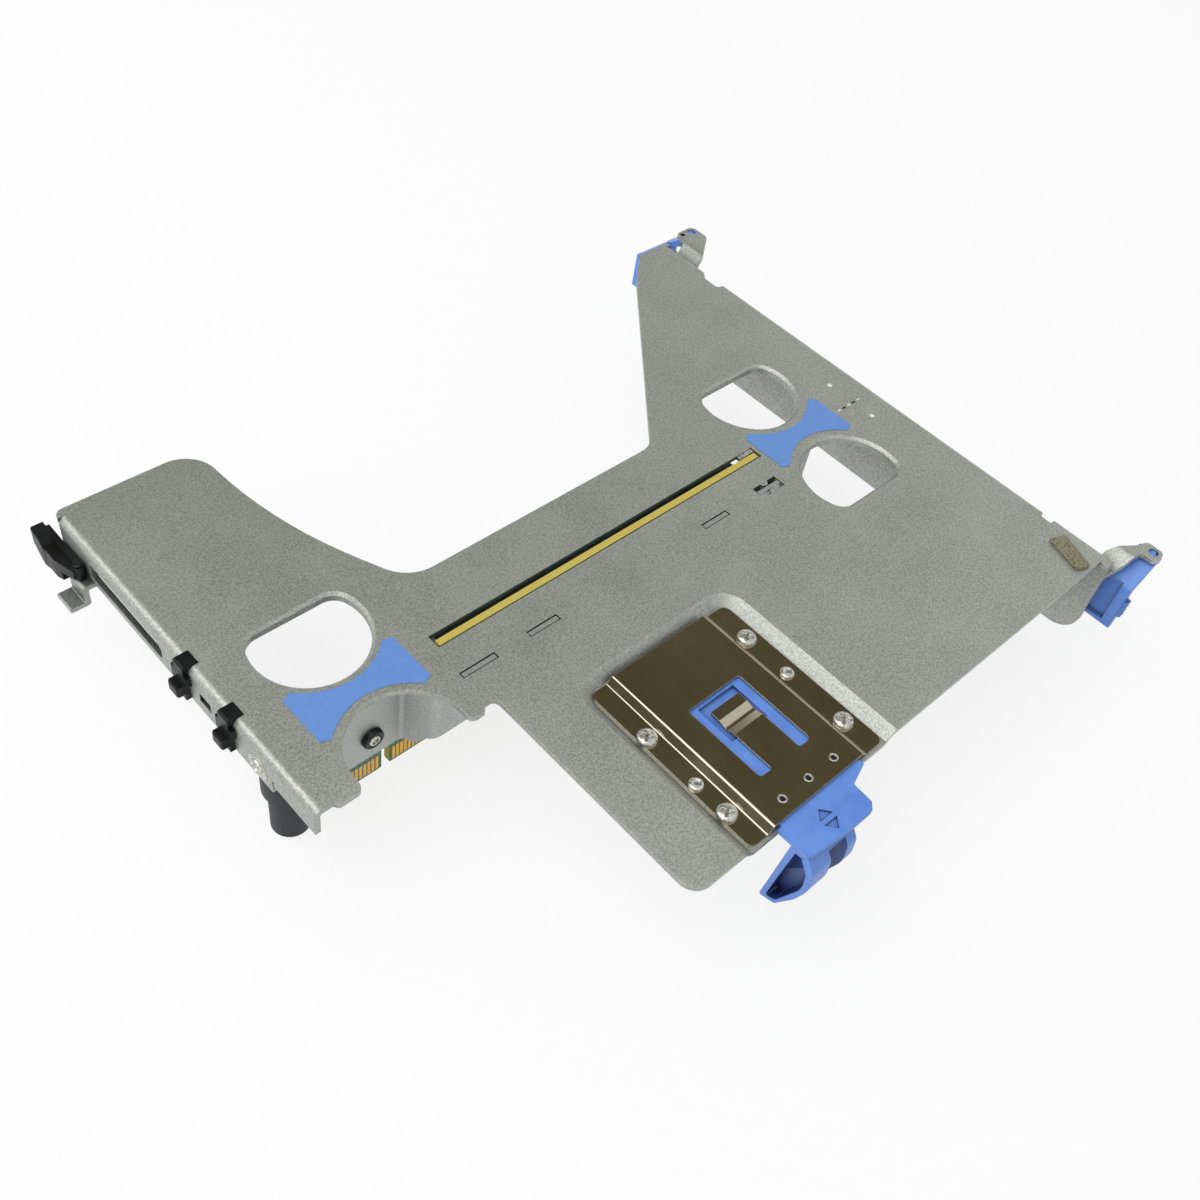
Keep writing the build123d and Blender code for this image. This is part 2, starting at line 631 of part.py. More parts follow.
def make_board_screws():
    """Screws through the bracket into the board's inserts."""
    face = BRACKET_NEAR_Y - BRACKET / 2
    screws = []
    for x in BOARD_SCREW_X:
        shank = lying_y(x, BOARD_SCREW_Z, face, BOARD_Y + BOARD / 2, BOARD_SCREW_SHANK)
        head = lying_y(x, BOARD_SCREW_Z, face - BOARD_SCREW_HEAD_HEIGHT, face, BOARD_SCREW_HEAD)
        head = chamfer(head.edges().group_by(Axis.Y)[0], 0.6)
        drive = lying_y(x, BOARD_SCREW_Z, face - 2, face - BOARD_SCREW_HEAD_HEIGHT + 0.9, 0.9)
        screws.append(shank + head - drive)
    return screws


def make_board_spacers():
    """Spacers that hold the board clear of the bracket."""
    back = BRACKET_NEAR_Y + BRACKET / 2
    front = BOARD_Y - BOARD / 2
    spacers = []
    for x in BOARD_SCREW_X:
        ring = lying_y(x, BOARD_SCREW_Z, back, front, BOARD_SPACER_RADIUS)
        spacers.append(ring - lying_y(x, BOARD_SCREW_Z, back - 1, front + 1, BOARD_SCREW_SHANK))
    return spacers


def make_retainer():
    """The stainless spring plate: two feet, a raised middle and the detent tongue."""
    floor = -RECESS_DEPTH
    inner_left = RAISED_X[0] - JOGGLE
    inner_right = RAISED_X[1] + JOGGLE
    top = floor + RETAINER
    section = [
        (RETAINER_X[0], floor), (inner_left, floor, 0.6), (RAISED_X[0], -RETAINER, 0.4),
        (RAISED_X[1], -RETAINER, 0.4), (inner_right, floor, 0.6), (RETAINER_X[1], floor),
        (RETAINER_X[1], top), (inner_right, top, 0.4), (RAISED_X[1], 0, 0.6),
        (RAISED_X[0], 0, 0.6), (inner_left, top, 0.4), (RETAINER_X[0], top),
    ]
    plate = along_y(section, *RETAINER_Y)
    left, right = RETAINER_X
    low, high = RETAINER_Y
    trim = flat([(left, low, RETAINER_CORNER), (left, high, RETAINER_CORNER),
                 (right, high, RETAINER_CORNER), (right, low, RETAINER_CORNER)], 1, RECESS_DEPTH + 2)
    plate &= trim
    tongue_left = WINDOW_X[0] + WINDOW_ARM
    tongue_right = WINDOW_X[1] - WINDOW_ARM
    tongue_end = WINDOW_Y[1] - TONGUE_GAP
    window = [
        (WINDOW_X[0], WINDOW_Y[0], 0.9), (WINDOW_X[0], WINDOW_Y[1], 0.5),
        (WINDOW_X[1], WINDOW_Y[1], 0.5), (WINDOW_X[1], WINDOW_Y[0], 0.9),
        (tongue_right, WINDOW_Y[0], 0.5), (tongue_right, tongue_end, 0.3),
        (tongue_left, tongue_end, 0.3), (tongue_left, WINDOW_Y[0], 0.5),
    ]
    plate -= flat(window, 1, 4)
    plate -= block(tongue_left - 0.1, tongue_right + 0.1, *BUMP_Y, -1, 0.5)
    middle = (BUMP_Y[0] + BUMP_Y[1]) / 2
    dip = [
        (BUMP_Y[0], 0), (BUMP_Y[0] + 0.2, 0), (middle, -BUMP_DIP, 1.6), (BUMP_Y[1] - 0.2, 0),
        (BUMP_Y[1], 0),
        (BUMP_Y[1], -RETAINER), (middle, -RETAINER - BUMP_DIP, 1.9), (BUMP_Y[0], -RETAINER),
    ]
    plate += along_x(dip, tongue_left, tongue_right)
    for x in RIVET_HOLES_X:
        plate -= upright(x, RIVET_HOLES_Y, -1, 1, RIVET_HOLE_RADIUS)
    for x, y in RETAINER_SCREWS:
        plate -= upright(x, y, -4, 0, RETAINER_SCREW_SHANK + HOLE_CLEARANCE)
    for x, y in RETAINER_PINS:
        plate -= upright(x, y, -4, 0, RETAINER_PIN_SHANK + HOLE_CLEARANCE)
    return plate


def make_retainer_screws():
    """Four small pan-head screws with a cross recess."""
    seat = -RECESS_DEPTH + RETAINER
    screws = []
    for x, y in RETAINER_SCREWS:
        head = upright(x, y, seat, seat + RETAINER_SCREW_HEAD_HEIGHT, RETAINER_SCREW_HEAD)
        head = chamfer(head.edges().group_by(Axis.Z)[-1], 0.45, 0.6)
        shank = upright(x, y, -RECESS_DEPTH - SHEET - 0.6, seat, RETAINER_SCREW_SHANK)
        drive = Pos(x, y, seat + RETAINER_SCREW_HEAD_HEIGHT) * Box(2.2, 0.5, 1.0)
        drive += Pos(x, y, seat + RETAINER_SCREW_HEAD_HEIGHT) * Box(0.5, 2.2, 1.0)
        screws.append(head + shank - drive)
    return screws


def make_retainer_pins():
    """Two headed pins that locate the retainer."""
    seat = -RECESS_DEPTH + RETAINER
    pins = []
    for x, y in RETAINER_PINS:
        head = upright(x, y, seat, seat + RETAINER_PIN_HEAD_HEIGHT, RETAINER_PIN_HEAD)
        head = chamfer(head.edges().group_by(Axis.Z)[-1], 0.3)
        pins.append(head + upright(x, y, -RECESS_DEPTH - SHEET, seat, RETAINER_PIN_SHANK))
    return pins


def grip_section(inset):
    """The curved side of the grip in Y and Z, drawn in by inset."""
    top = slide_low() - inset
    back = GRIP_BACK_Y - inset
    belly = GRIP_BELLY_Y + inset
    low = slide_low() - GRIP_DROP + inset
    return [
        (back, top),
        (belly + 2.3, top),
        (belly + 0.2, top - 3, 3),
        (belly - 0.2, top - 8, 10),
        (belly + 1.6, top - 13.5 + inset, 12),
        (back - 1.6 + inset, low + 1.2, 1.5),
        (back + 2.0, low, 0.4),
        (back + 1.2, low + 8),
    ]


def slide_high():
    """The top face of the sliding plate, below the retainer."""
    return -RETAINER - SLIDE_CLEARANCE


def slide_low():
    """The bottom face of the sliding plate, above the recess floor."""
    return -RECESS_DEPTH + SLIDE_CLEARANCE


def make_slide():
    """The sliding latch: a flat plate, a touch pad and a two-part finger grip."""
    thick = slide_high() - slide_low()
    plate = flat([
        (SLIDE_X[0], PAD_ROOT_Y), (SLIDE_X[0], SLIDE_INNER_Y, 2), (SLIDE_X[1], SLIDE_INNER_Y, 2),
        (SLIDE_X[1], PAD_ROOT_Y)], slide_high(), thick)
    plate += flat([
        (PAD_X[0], PAD_ROOT_Y + 0.5), (SLIDE_X[1], PAD_ROOT_Y + 0.5), (PAD_WING_X - 1.5, PAD_ROOT_Y - 0.3),
        (PAD_X[1] + 0.3, PAD_ROOT_Y - 2.0, 0.5), (PAD_X[1], PAD_FRONT_Y + 1.3, 0.8),
        (PAD_X[1] - 1.5, PAD_FRONT_Y, 0.8), (PAD_X[0] + 11, PAD_FRONT_Y, 5),
        (PAD_X[0] + 0.1, PAD_FRONT_Y + PAD_SLOPE, 0.8)], slide_high(), thick)
    groove_left = WINDOW_X[0] + WINDOW_ARM - 1
    groove_right = WINDOW_X[1] - WINDOW_ARM + 1
    plate -= block(groove_left, groove_right, BUMP_Y[0] - 0.4, BUMP_Y[1] + SLIDE_TRAVEL + 0.4,
                   -RETAINER - BUMP_DIP - SLIDE_CLEARANCE, 0)
    grip = along_x(grip_section(0), *GRIP_X)
    grip -= along_x(grip_section(GRIP_WALL), GRIP_X[0] - 1, GRIP_X[0] + GRIP_POCKET_DEPTH)
    opening = block(*GRIP_GAP, GRIP_BELLY_Y - 2, GRIP_BACK_Y - GRIP_WALL,
                    slide_low() - GRIP_DROP - 1, slide_low() - 1.2)
    return plate + (grip - opening)


def make_guide_pin():
    """The moulded guide pin: square root behind the flange, collar and round pin."""
    pin = upright(GUIDE_X, GUIDE_Y, GUIDE_TIP_Z, GUIDE_COLLAR_Z, GUIDE_RADIUS)
    pin = chamfer(pin.edges().group_by(Axis.Z)[0], GUIDE_TIP_CHAMFER)
    taper_top = GUIDE_COLLAR_Z + GUIDE_COLLAR_TAPER
    pin += upright(GUIDE_X, GUIDE_Y, GUIDE_COLLAR_Z, taper_top, GUIDE_COLLAR_RADIUS, GUIDE_RADIUS + 0.2)
    pin += upright(GUIDE_X, GUIDE_Y, taper_top, -10, GUIDE_COLLAR_RADIUS)
    half = GUIDE_X - SHEET
    pin += block(SHEET, GUIDE_X + half, GUIDE_Y - half, GUIDE_Y + half, -10, GUIDE_ROOT_TOP)
    return pin - lying_x(RIVET_Y, RIVET_Z, SHEET - 1, SHEET + 3, RIVET_RADIUS)


def make_guide_rivet():
    """The headed rivet that holds the guide pin to the rear flange."""
    rivet = lying_x(RIVET_Y, RIVET_Z, -RIVET_HEAD_HEIGHT, 0, RIVET_HEAD_RADIUS)
    rivet = chamfer(rivet.edges().group_by(Axis.X)[0], 0.3)
    rivet += lying_x(RIVET_Y, RIVET_Z, 0, SHEET + 2.8, RIVET_RADIUS)
    return rivet - lying_x(RIVET_Y, RIVET_Z, -2, -0.2, 0.8)


def make_clip(y):
    """A snap clip: a hook over the sheet's edge, a body on the flange and a button."""
    half = CLIP_WIDTH / 2
    low = -REAR_FLANGE_DROP
    section = [
        (CLIP_HOOK, 0.5, 0.3), (CLIP_HOOK, -SHEET), (0.1, -SHEET - 0.6), (0.1, low / 2),
        (0, low / 2), (0, low), (-CLIP_BODY, low), (-CLIP_BODY, 0.5, 0.6),
    ]
    clip = along_y(section, y - half, y + half)
    clip += block(-CLIP_BODY, 0, y - half - 0.9, y - half, -4.6, -2.2)
    clip += block(-CLIP_BODY, 0, y + half, y + half + 1.1, -5.2, -1.9)
    bottom, top = CLIP_BUTTON_Z
    button = block(-CLIP_BUTTON_REACH, -CLIP_BODY, y - half + 0.2, y + half + 0.2, bottom, top)
    return clip + chamfer(button.edges().group_by(Axis.X)[0], 0.3)


def make_card_latch():
    """The hooked latch that swings out from the end of the rear flange."""
    x, y = LATCH_PIVOT
    low = -REAR_FLANGE_DROP + LATCH_GAP
    top = LATCH_TOP_Z
    outer = -LATCH_GAP - LATCH_ARM_THICKNESS
    arm = block(outer, -LATCH_GAP, y, LATCH_TIP_Y - 4.6, low, top - 0.4)
    arm += block(outer, -LATCH_GAP, LATCH_HEEL_Y + 1, LATCH_TIP_Y - 1, low - 1.2, top - 0.4)
    arm += upright(x, y, low, top - 0.4, LATCH_EYE)
    head = [
        (LATCH_TIP_Y, top), (LATCH_TIP_Y - 4.1, top, 0.6), (LATCH_HEEL_Y, top - 6.2, 0.6),
        (LATCH_HEEL_Y + 5.6, top - 6.8, 2.5), (LATCH_TIP_Y, top - 3.4, 1.0)]
    body = along_x(head, LATCH_OUTER_X, outer + 0.5)
    body &= flat([
        (outer + 0.5, LATCH_HEEL_Y), (outer + 0.5, LATCH_TIP_Y),
        (LATCH_OUTER_X + 0.3, LATCH_TIP_Y, 0.6), (LATCH_OUTER_X, LATCH_TIP_Y - 5, 3),
        (LATCH_OUTER_X + 0.8, LATCH_HEEL_Y, 0.6)], 0, 14)
    hole = upright(x, y, low - 1, top + 1, LATCH_PIN_RADIUS + LATCH_PIN_CLEARANCE)
    return arm + body - hole


def make_card_latch_pin():
    """The headed pin that stands on the hook tab's ledge and holds the card latch."""
    x, y = LATCH_PIVOT
    head = LATCH_TOP_Z - 0.4 + LATCH_GAP
    pin = upright(x, y, -REAR_FLANGE_DROP - SHEET, head, LATCH_PIN_RADIUS)
    return pin + upright(x, y, head, head + 0.5, LATCH_PIN_HEAD)


def make_lever(peg, side):
    """A corner lever: an upright wall, a sloped touch face and a peg in the ear."""
    x, y = peg
    wall = CAGE_LENGTH + LEVER_GAP
    ear_low = -SHEET - LEVER_EAR_GAP
    section = [
        (wall, -LEVER_DROP, 0.8), (wall, LEVER_KINK_Z, 0.8), (x - 0.6, ear_low, 0.5),
        (x + 2.2, ear_low, 0.5),
        (x + 2.2, ear_low - LEVER_TOP, 0.5), (x, ear_low - LEVER_TOP, 0.5),
        (wall + LEVER_WALL, LEVER_KINK_Z - 0.9, 0.5), (wall + LEVER_WALL, -LEVER_DROP, 0.8),
    ]
    outer = y + side * LEVER_OVERHANG
    inner = y - side * LEVER_LENGTH
    lever = along_y(section, min(outer, inner), max(outer, inner))
    hollow = [
        (wall - 1, -LEVER_DROP + 1.6), (wall - 1, LEVER_KINK_Z + 2), (wall + 0.2, LEVER_KINK_Z + 2),
        (wall + 0.9, LEVER_KINK_Z - 1), (wall + 0.9, -LEVER_DROP + 1.6)]
    rim = outer - side * 2.4
    stop = inner + side * 1.2
    lever -= along_y(hollow, min(rim, stop), max(rim, stop))
    lever += upright(x, y, ear_low, -0.2, PEG_RADIUS)
    beyond = inner + side * (LEVER_LENGTH - LEVER_BOSS - 1.6)
    cut_low, cut_high = sorted((inner - side, beyond))
    lever -= block(wall + LEVER_WALL + 1.2, x + 4, cut_low, cut_high, -LEVER_DROP, 1)
    nub_y = outer + side * 0.35
    return lever + Pos(wall + 1.2, nub_y - side * 0.5, -13) * Cylinder(1.0, 5)


def make_left_lever():
    """The mirrored lever, swung a quarter turn so that it lies past the wing's end."""
    x, y = PEG_LEFT
    return Pos(x, y, 0) * Rot(0, 0, LEFT_LEVER_TURN) * Pos(-x, -y, 0) * make_lever(PEG_LEFT, 1)


def make_lever_spring():
    """A short coil spring behind the right lever, with a six-sided wire to stay light."""
    length = LEVER_GAP - SPRING_GAP
    height = length - 2 * SPRING_WIRE
    coil = Helix(pitch=height / SPRING_TURNS, height=height, radius=SPRING_RADIUS)
    profile = Plane(origin=coil @ 0, z_dir=coil % 0) * RegularPolygon(SPRING_WIRE, 6)
    wire = sweep(profile, path=coil, is_frenet=True)
    return Pos(CAGE_LENGTH + SPRING_WIRE, SPRING_Y, SPRING_Z) * Rot(0, 90, 0) * wire


def make_label(centre):
    """A waisted touch label between two finger holes."""
    x, y = centre
    half = LABEL_LENGTH / 2
    tall = LABEL_HEIGHT / 2
    waist = LABEL_WAIST / 2
    nip = half - LABEL_CORNER
    top = Spline([(x - nip, y + tall), (x, y + waist), (x + nip, y + tall)],
                 tangents=[(1, -LABEL_SWEEP), (1, LABEL_SWEEP)])
    bottom = Spline([(x + nip, y - tall), (x, y - waist), (x - nip, y - tall)],
                    tangents=[(-1, LABEL_SWEEP), (-1, -LABEL_SWEEP)])
    shoulder = tall - 0.8
    edges = [top, bottom]
    for side, leave, arrive in ((1, top @ 1, bottom @ 0), (-1, bottom @ 1, top @ 0)):
        first = (x + side * half, y + side * shoulder)
        second = (x + side * half, y - side * shoulder)
        edges += [Line(leave, first), Line(first, second), Line(second, arrive)]
    return extrude(make_face(edges), amount=LABEL_THICKNESS)


def make_foam_pad():
    """The foam pad stuck on the front corner of the sheet."""
    return flat([(x, y, 0.5) for x, y in PAD_CORNERS], PAD_THICKNESS, PAD_THICKNESS)


def label_middle(upper, lower):
    """The point halfway between two finger holes."""
    return ((upper[0] + lower[0]) / 2, (upper[1] + lower[1]) / 2)


nodes = {
    "cage_plate": make_cage(),
    "board_bracket": make_bracket(),
    "riser_board": make_board(),
    "edge_fingers": make_fingers(),
    "card_slot": make_slot(),
    "slot_contacts": make_contacts(),
    "board_screws": make_board_screws(),
    "board_spacers": make_board_spacers(),
    "guide_pin": make_guide_pin(),
    "guide_pin_rivet": make_guide_rivet(),
    "retainer_plate": make_retainer(),
    "retainer_screws": make_retainer_screws(),
    "retainer_pins": make_retainer_pins(),
    "slide_latch": make_slide(),
    "rear_clip_outer": make_clip(CLIP_YS[0]),
    "rear_clip_inner": make_clip(CLIP_YS[1]),
    "card_latch": make_card_latch(),
    "card_latch_pin": make_card_latch_pin(),
    "lever_right": make_lever(PEG_RIGHT, -1),
    "lever_left": make_left_lever(),
    "lever_spring": make_lever_spring(),
    "touch_label_rear": make_label(label_middle(REAR_HOLE, REAR_NOTCH)),
    "touch_label_front": make_label(
        label_middle(FRONT_HOLE_CARD_SIDE, FRONT_HOLE_LATCH_SIDE)),
    "foam_pad": make_foam_pad(),
}

os.makedirs("parts", exist_ok=True)
to_datum = Pos(-GUIDE_X, -GUIDE_Y, -GUIDE_COLLAR_Z)
for name, shape in nodes.items():
    solids = shape if isinstance(shape, list) else [shape]
    placed = [to_datum * solid for group in solids for solid in group.solids()]
    export_step(placed[0] if len(placed) == 1 else Compound(children=placed), f"parts/{name}.step")
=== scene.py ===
import math

import bmesh
import bpy
from mathutils import Matrix, Vector, noise


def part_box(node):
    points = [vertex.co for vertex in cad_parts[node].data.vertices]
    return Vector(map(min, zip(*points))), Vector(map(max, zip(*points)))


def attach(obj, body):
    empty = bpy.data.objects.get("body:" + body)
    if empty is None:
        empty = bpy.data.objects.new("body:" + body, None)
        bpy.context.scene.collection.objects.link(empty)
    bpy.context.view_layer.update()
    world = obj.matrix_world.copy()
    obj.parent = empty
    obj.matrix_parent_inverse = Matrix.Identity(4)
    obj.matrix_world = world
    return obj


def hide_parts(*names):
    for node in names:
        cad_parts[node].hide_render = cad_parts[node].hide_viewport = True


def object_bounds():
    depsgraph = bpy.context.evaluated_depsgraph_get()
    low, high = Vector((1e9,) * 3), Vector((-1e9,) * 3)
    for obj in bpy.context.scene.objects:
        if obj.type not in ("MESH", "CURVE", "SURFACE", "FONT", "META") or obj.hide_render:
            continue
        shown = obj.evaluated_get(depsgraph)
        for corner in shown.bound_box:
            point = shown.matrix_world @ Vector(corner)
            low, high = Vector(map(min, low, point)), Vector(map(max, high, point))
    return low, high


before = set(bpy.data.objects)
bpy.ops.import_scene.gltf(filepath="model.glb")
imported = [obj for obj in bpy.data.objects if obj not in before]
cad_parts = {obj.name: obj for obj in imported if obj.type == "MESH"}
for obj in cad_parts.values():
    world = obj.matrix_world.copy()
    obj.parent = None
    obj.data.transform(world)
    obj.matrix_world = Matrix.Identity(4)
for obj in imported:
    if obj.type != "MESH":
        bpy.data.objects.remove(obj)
cad_low, cad_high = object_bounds()

# The frame's datum is the guide pin's axis. These turn the cage's own drawing sizes, in
# millimetres from the rear face, the slot line and the plate's top, into the frame's metres.
MM = 0.001
REAR_FACE_X = -5.6
SLOT_LINE_Y = 0.1
PLATE_TOP_Z = 18.4

# Middle of the polished retainer's top
RETAINER_MIDDLE = (75.8, -48.7, 0)

# Camera, as measured from the photograph: where it stands, what it points at, its roll and lens
CAMERA_FROM_DATUM = (-70.3, -122.4, 216.8)
CAMERA_POINTS_AT = (68.15, -11.26, 18.4)
CAMERA_ROLL = math.radians(11.05)
CAMERA_LENS = 39.23


def at(x, y, z):
    """A place given in the cage's drawing millimetres."""
    return Vector((x + REAR_FACE_X, y + SLOT_LINE_Y, z + PLATE_TOP_Z)) * MM


def per(size):
    """The texture scale at which one repeat is this many millimetres."""
    return 1 / (size * MM)


def colour(code):
    """An sRGB hex colour as the linear colour that a shader socket takes."""
    channels = [int(code[i:i + 2], 16) / 255 for i in (1, 3, 5)]
    return (*(c / 12.92 if c <= 0.04045 else ((c + 0.055) / 1.055) ** 2.4 for c in channels), 1.0)


# Materials: each one is a real finish of the cage, but the steel and the moulded plastics also carry painted
# shade where their own walls close them in

def add(tree, kind, values=None, links=None, **settings):
    """One shader node with its settings, its socket values and the links into it."""
    node = tree.nodes.new("ShaderNode" + kind)
    for name, value in settings.items():
        setattr(node, name, value)
    for socket, value in (values or {}).items():
        node.inputs[socket].default_value = value
    for socket, source in (links or {}).items():
        tree.links.new(source, node.inputs[socket])
    return node


def start(name):
    """A new material, its empty tree and the row-frame position that its patterns follow."""
    material = bpy.data.materials.new(name)
    material.use_nodes = True
    tree = material.node_tree
    tree.nodes.clear()
    place = add(tree, "TexCoord").outputs["Object"]
    return material, tree, place


def finish(tree, values, links):
    """The surface shader of a material, joined to its output."""
    shader = add(tree, "BsdfPrincipled", values, links)
    add(tree, "OutputMaterial", links={"Surface": shader.outputs["BSDF"]})


def speckle(tree, place, size, dark, light, detail=2.0, low=0.35, high=0.65):
    """Two tones of one finish, mixed by a noise of that grain size in millimetres."""
    grains = add(tree, "TexNoise", {"Scale": per(size), "Detail": detail}, {"Vector": place})
    share = add(tree, "MapRange", {"From Min": low, "From Max": high}, {"Value": grains.outputs["Fac"]})
    mixed = add(tree, "Mix", {6: colour(dark), 7: colour(light)}, {0: share.outputs["Result"]},
                data_type="RGBA")
    return mixed.outputs[2], grains.outputs["Fac"]


def painted_occlusion_shade(tree, tone, shade, reach):
    """A tone darkened towards its shade colour where the object's own walls close it in: painted shade, set
    in the colour by an occlusion test, not cast by the lamps.
    """
    open_sky = add(tree, "AmbientOcclusion", {"Distance": reach * MM}, samples=3, only_local=True)
    share = add(tree, "MapRange", {"From Min": 0.4, "From Max": 0.9},
                {"Value": open_sky.outputs["AO"]})
    mixed = add(tree, "Mix", {6: colour(shade)}, {0: share.outputs["Result"], 7: tone}, data_type="RGBA")
    return mixed.outputs[2]


def zinc_coated_sheet(name, dark, light, edge_radius=0.25):
    """Zinc-coated cold-rolled steel sheet: satin grey with a fine crystal speckle, broad soft clouds from
    rolling, and thin bright handling scratches. Sheared edges are slightly rounded. Its tone is darkened
    where its own folds and walls close it in: painted shade."""
    material, tree, place = start(name)
    tone, grain = speckle(tree, place, 0.42, dark, light, detail=3.0)
    cloud = add(tree, "TexNoise", {"Scale": per(14), "Detail": 4.0, "Roughness": 0.6},
                {"Vector": place})
    veil = add(tree, "MapRange", {"From Min": 0.3, "From Max": 0.7, "To Min": 0.0, "To Max": 0.1},
               {"Value": cloud.outputs["Fac"]})
    clouded = add(tree, "Mix", {7: colour("#e4e6e0")}, {0: veil.outputs["Result"], 6: tone},
                  data_type="RGBA")
    stretched = add(tree, "Mapping", {"Rotation": (0, 0, 0.9), "Scale": (1, 26, 1)}, {"Vector": place})
    hairs = add(tree, "TexNoise", {"Scale": per(19), "Detail": 5.0, "Roughness": 0.72},
                {"Vector": stretched.outputs["Vector"]})
    scratch = add(tree, "MapRange", {"From Min": 0.71, "From Max": 0.76, "To Max": 0.3},
                  {"Value": hairs.outputs["Fac"]})
    scratched = add(tree, "Mix", {7: colour("#f2f2ee")},
                    {0: scratch.outputs["Result"], 6: clouded.outputs[2]}, data_type="RGBA")
    rough = add(tree, "MapRange", {"From Min": 0.3, "From Max": 0.7, "To Min": 0.5, "To Max": 0.53},
                {"Value": cloud.outputs["Fac"]})
    rounded = add(tree, "Bevel", {"Radius": edge_radius * MM}, samples=3)
    bump = add(tree, "Bump", {"Strength": 0.16, "Distance": 0.03 * MM},
               {"Height": grain, "Normal": rounded.outputs["Normal"]})
    # Painted shade: the tone goes to #2e302f where the sheet's own walls, within 26 mm, close it in
    steel_tone_with_painted_shade = painted_occlusion_shade(tree, scratched.outputs[2], "#2e302f", 26)
    finish(tree, {"Metallic": 1.0},
           {"Base Color": steel_tone_with_painted_shade, "Roughness": rough.outputs["Result"],
            "Normal": bump.outputs["Normal"]})
    return material


def polished_stainless_spring():
    """Mirror-finished stainless spring sheet: it shows the dark ceiling of the studio, with
    faint long rolling lines and cleaning smears."""
    material, tree, place = start("polished_stainless_spring")
    lines = add(tree, "Mapping", {"Scale": (40, 1, 1)}, {"Vector": place})
    rolled = add(tree, "TexNoise", {"Scale": per(16), "Detail": 3.0}, {"Vector": lines.outputs["Vector"]})
    tone = add(tree, "Mix", {6: colour("#a89e8c"), 7: colour("#bdb4a3")}, {0: rolled.outputs["Fac"]},
               data_type="RGBA")
    smear = add(tree, "TexNoise", {"Scale": per(11), "Detail": 2.0}, {"Vector": place})
    rough = add(tree, "MapRange", {"From Min": 0.35, "From Max": 0.75, "To Min": 0.1, "To Max": 0.18},
                {"Value": smear.outputs["Fac"]})
    rounded = add(tree, "Bevel", {"Radius": 0.15 * MM}, samples=3)
    bump = add(tree, "Bump", {"Strength": 0.04, "Distance": 0.02 * MM},
               {"Height": rolled.outputs["Fac"], "Normal": rounded.outputs["Normal"]})
    finish(tree, {"Metallic": 1.0},
           {"Base Color": tone.outputs[2], "Roughness": rough.outputs["Result"],
            "Normal": bump.outputs["Normal"]})
    return material


def moulded_plastic(name, dark, light, roughness, grain=0.3, edge_radius=0.25, shade="#08090a",
                    gloss=0.5):
    """Injection-moulded nylon with a spark-eroded skin: a fine even grain, a soft sheen and rounded edges
    that catch the light. Its tone is darkened towards the shade colour where its own walls close it in:
    painted shade."""
    material, tree, place = start(name)
    tone, broad = speckle(tree, place, 5.0, dark, light, detail=3.0)
    skin = add(tree, "TexNoise", {"Scale": per(grain), "Detail": 2.0}, {"Vector": place})
    rounded = add(tree, "Bevel", {"Radius": edge_radius * MM}, samples=3)
    bump = add(tree, "Bump", {"Strength": 0.25, "Distance": 0.02 * MM},
               {"Height": skin.outputs["Fac"], "Normal": rounded.outputs["Normal"]})
    rough = add(tree, "MapRange",
                {"From Min": 0.3, "From Max": 0.7, "To Min": roughness - 0.05, "To Max": roughness + 0.05},
                {"Value": broad})
    # Painted shade: the tone goes to the shade colour where the piece's own walls, within 12 mm, close it in
    plastic_tone_with_painted_shade = painted_occlusion_shade(tree, tone, shade, 12)
    finish(tree, {"IOR": 1.53, "Specular IOR Level": gloss},
           {"Base Color": plastic_tone_with_painted_shade, "Roughness": rough.outputs["Result"], "Normal": bump.outputs["Normal"]})
    return material


def printed_film():
    """Printed polyester film over the sheet: satin blue with a faint mottle of the ink."""
    material, tree, place = start("printed_blue_film")
    tone, mottle = speckle(tree, place, 0.9, "#5d8bd1", "#6390d5", detail=3.0)
    bump = add(tree, "Bump", {"Strength": 0.1, "Distance": 0.01 * MM}, {"Height": mottle})
    finish(tree, {"Roughness": 0.46, "IOR": 1.6}, {"Base Color": tone, "Normal": bump.outputs["Normal"]})
    return material


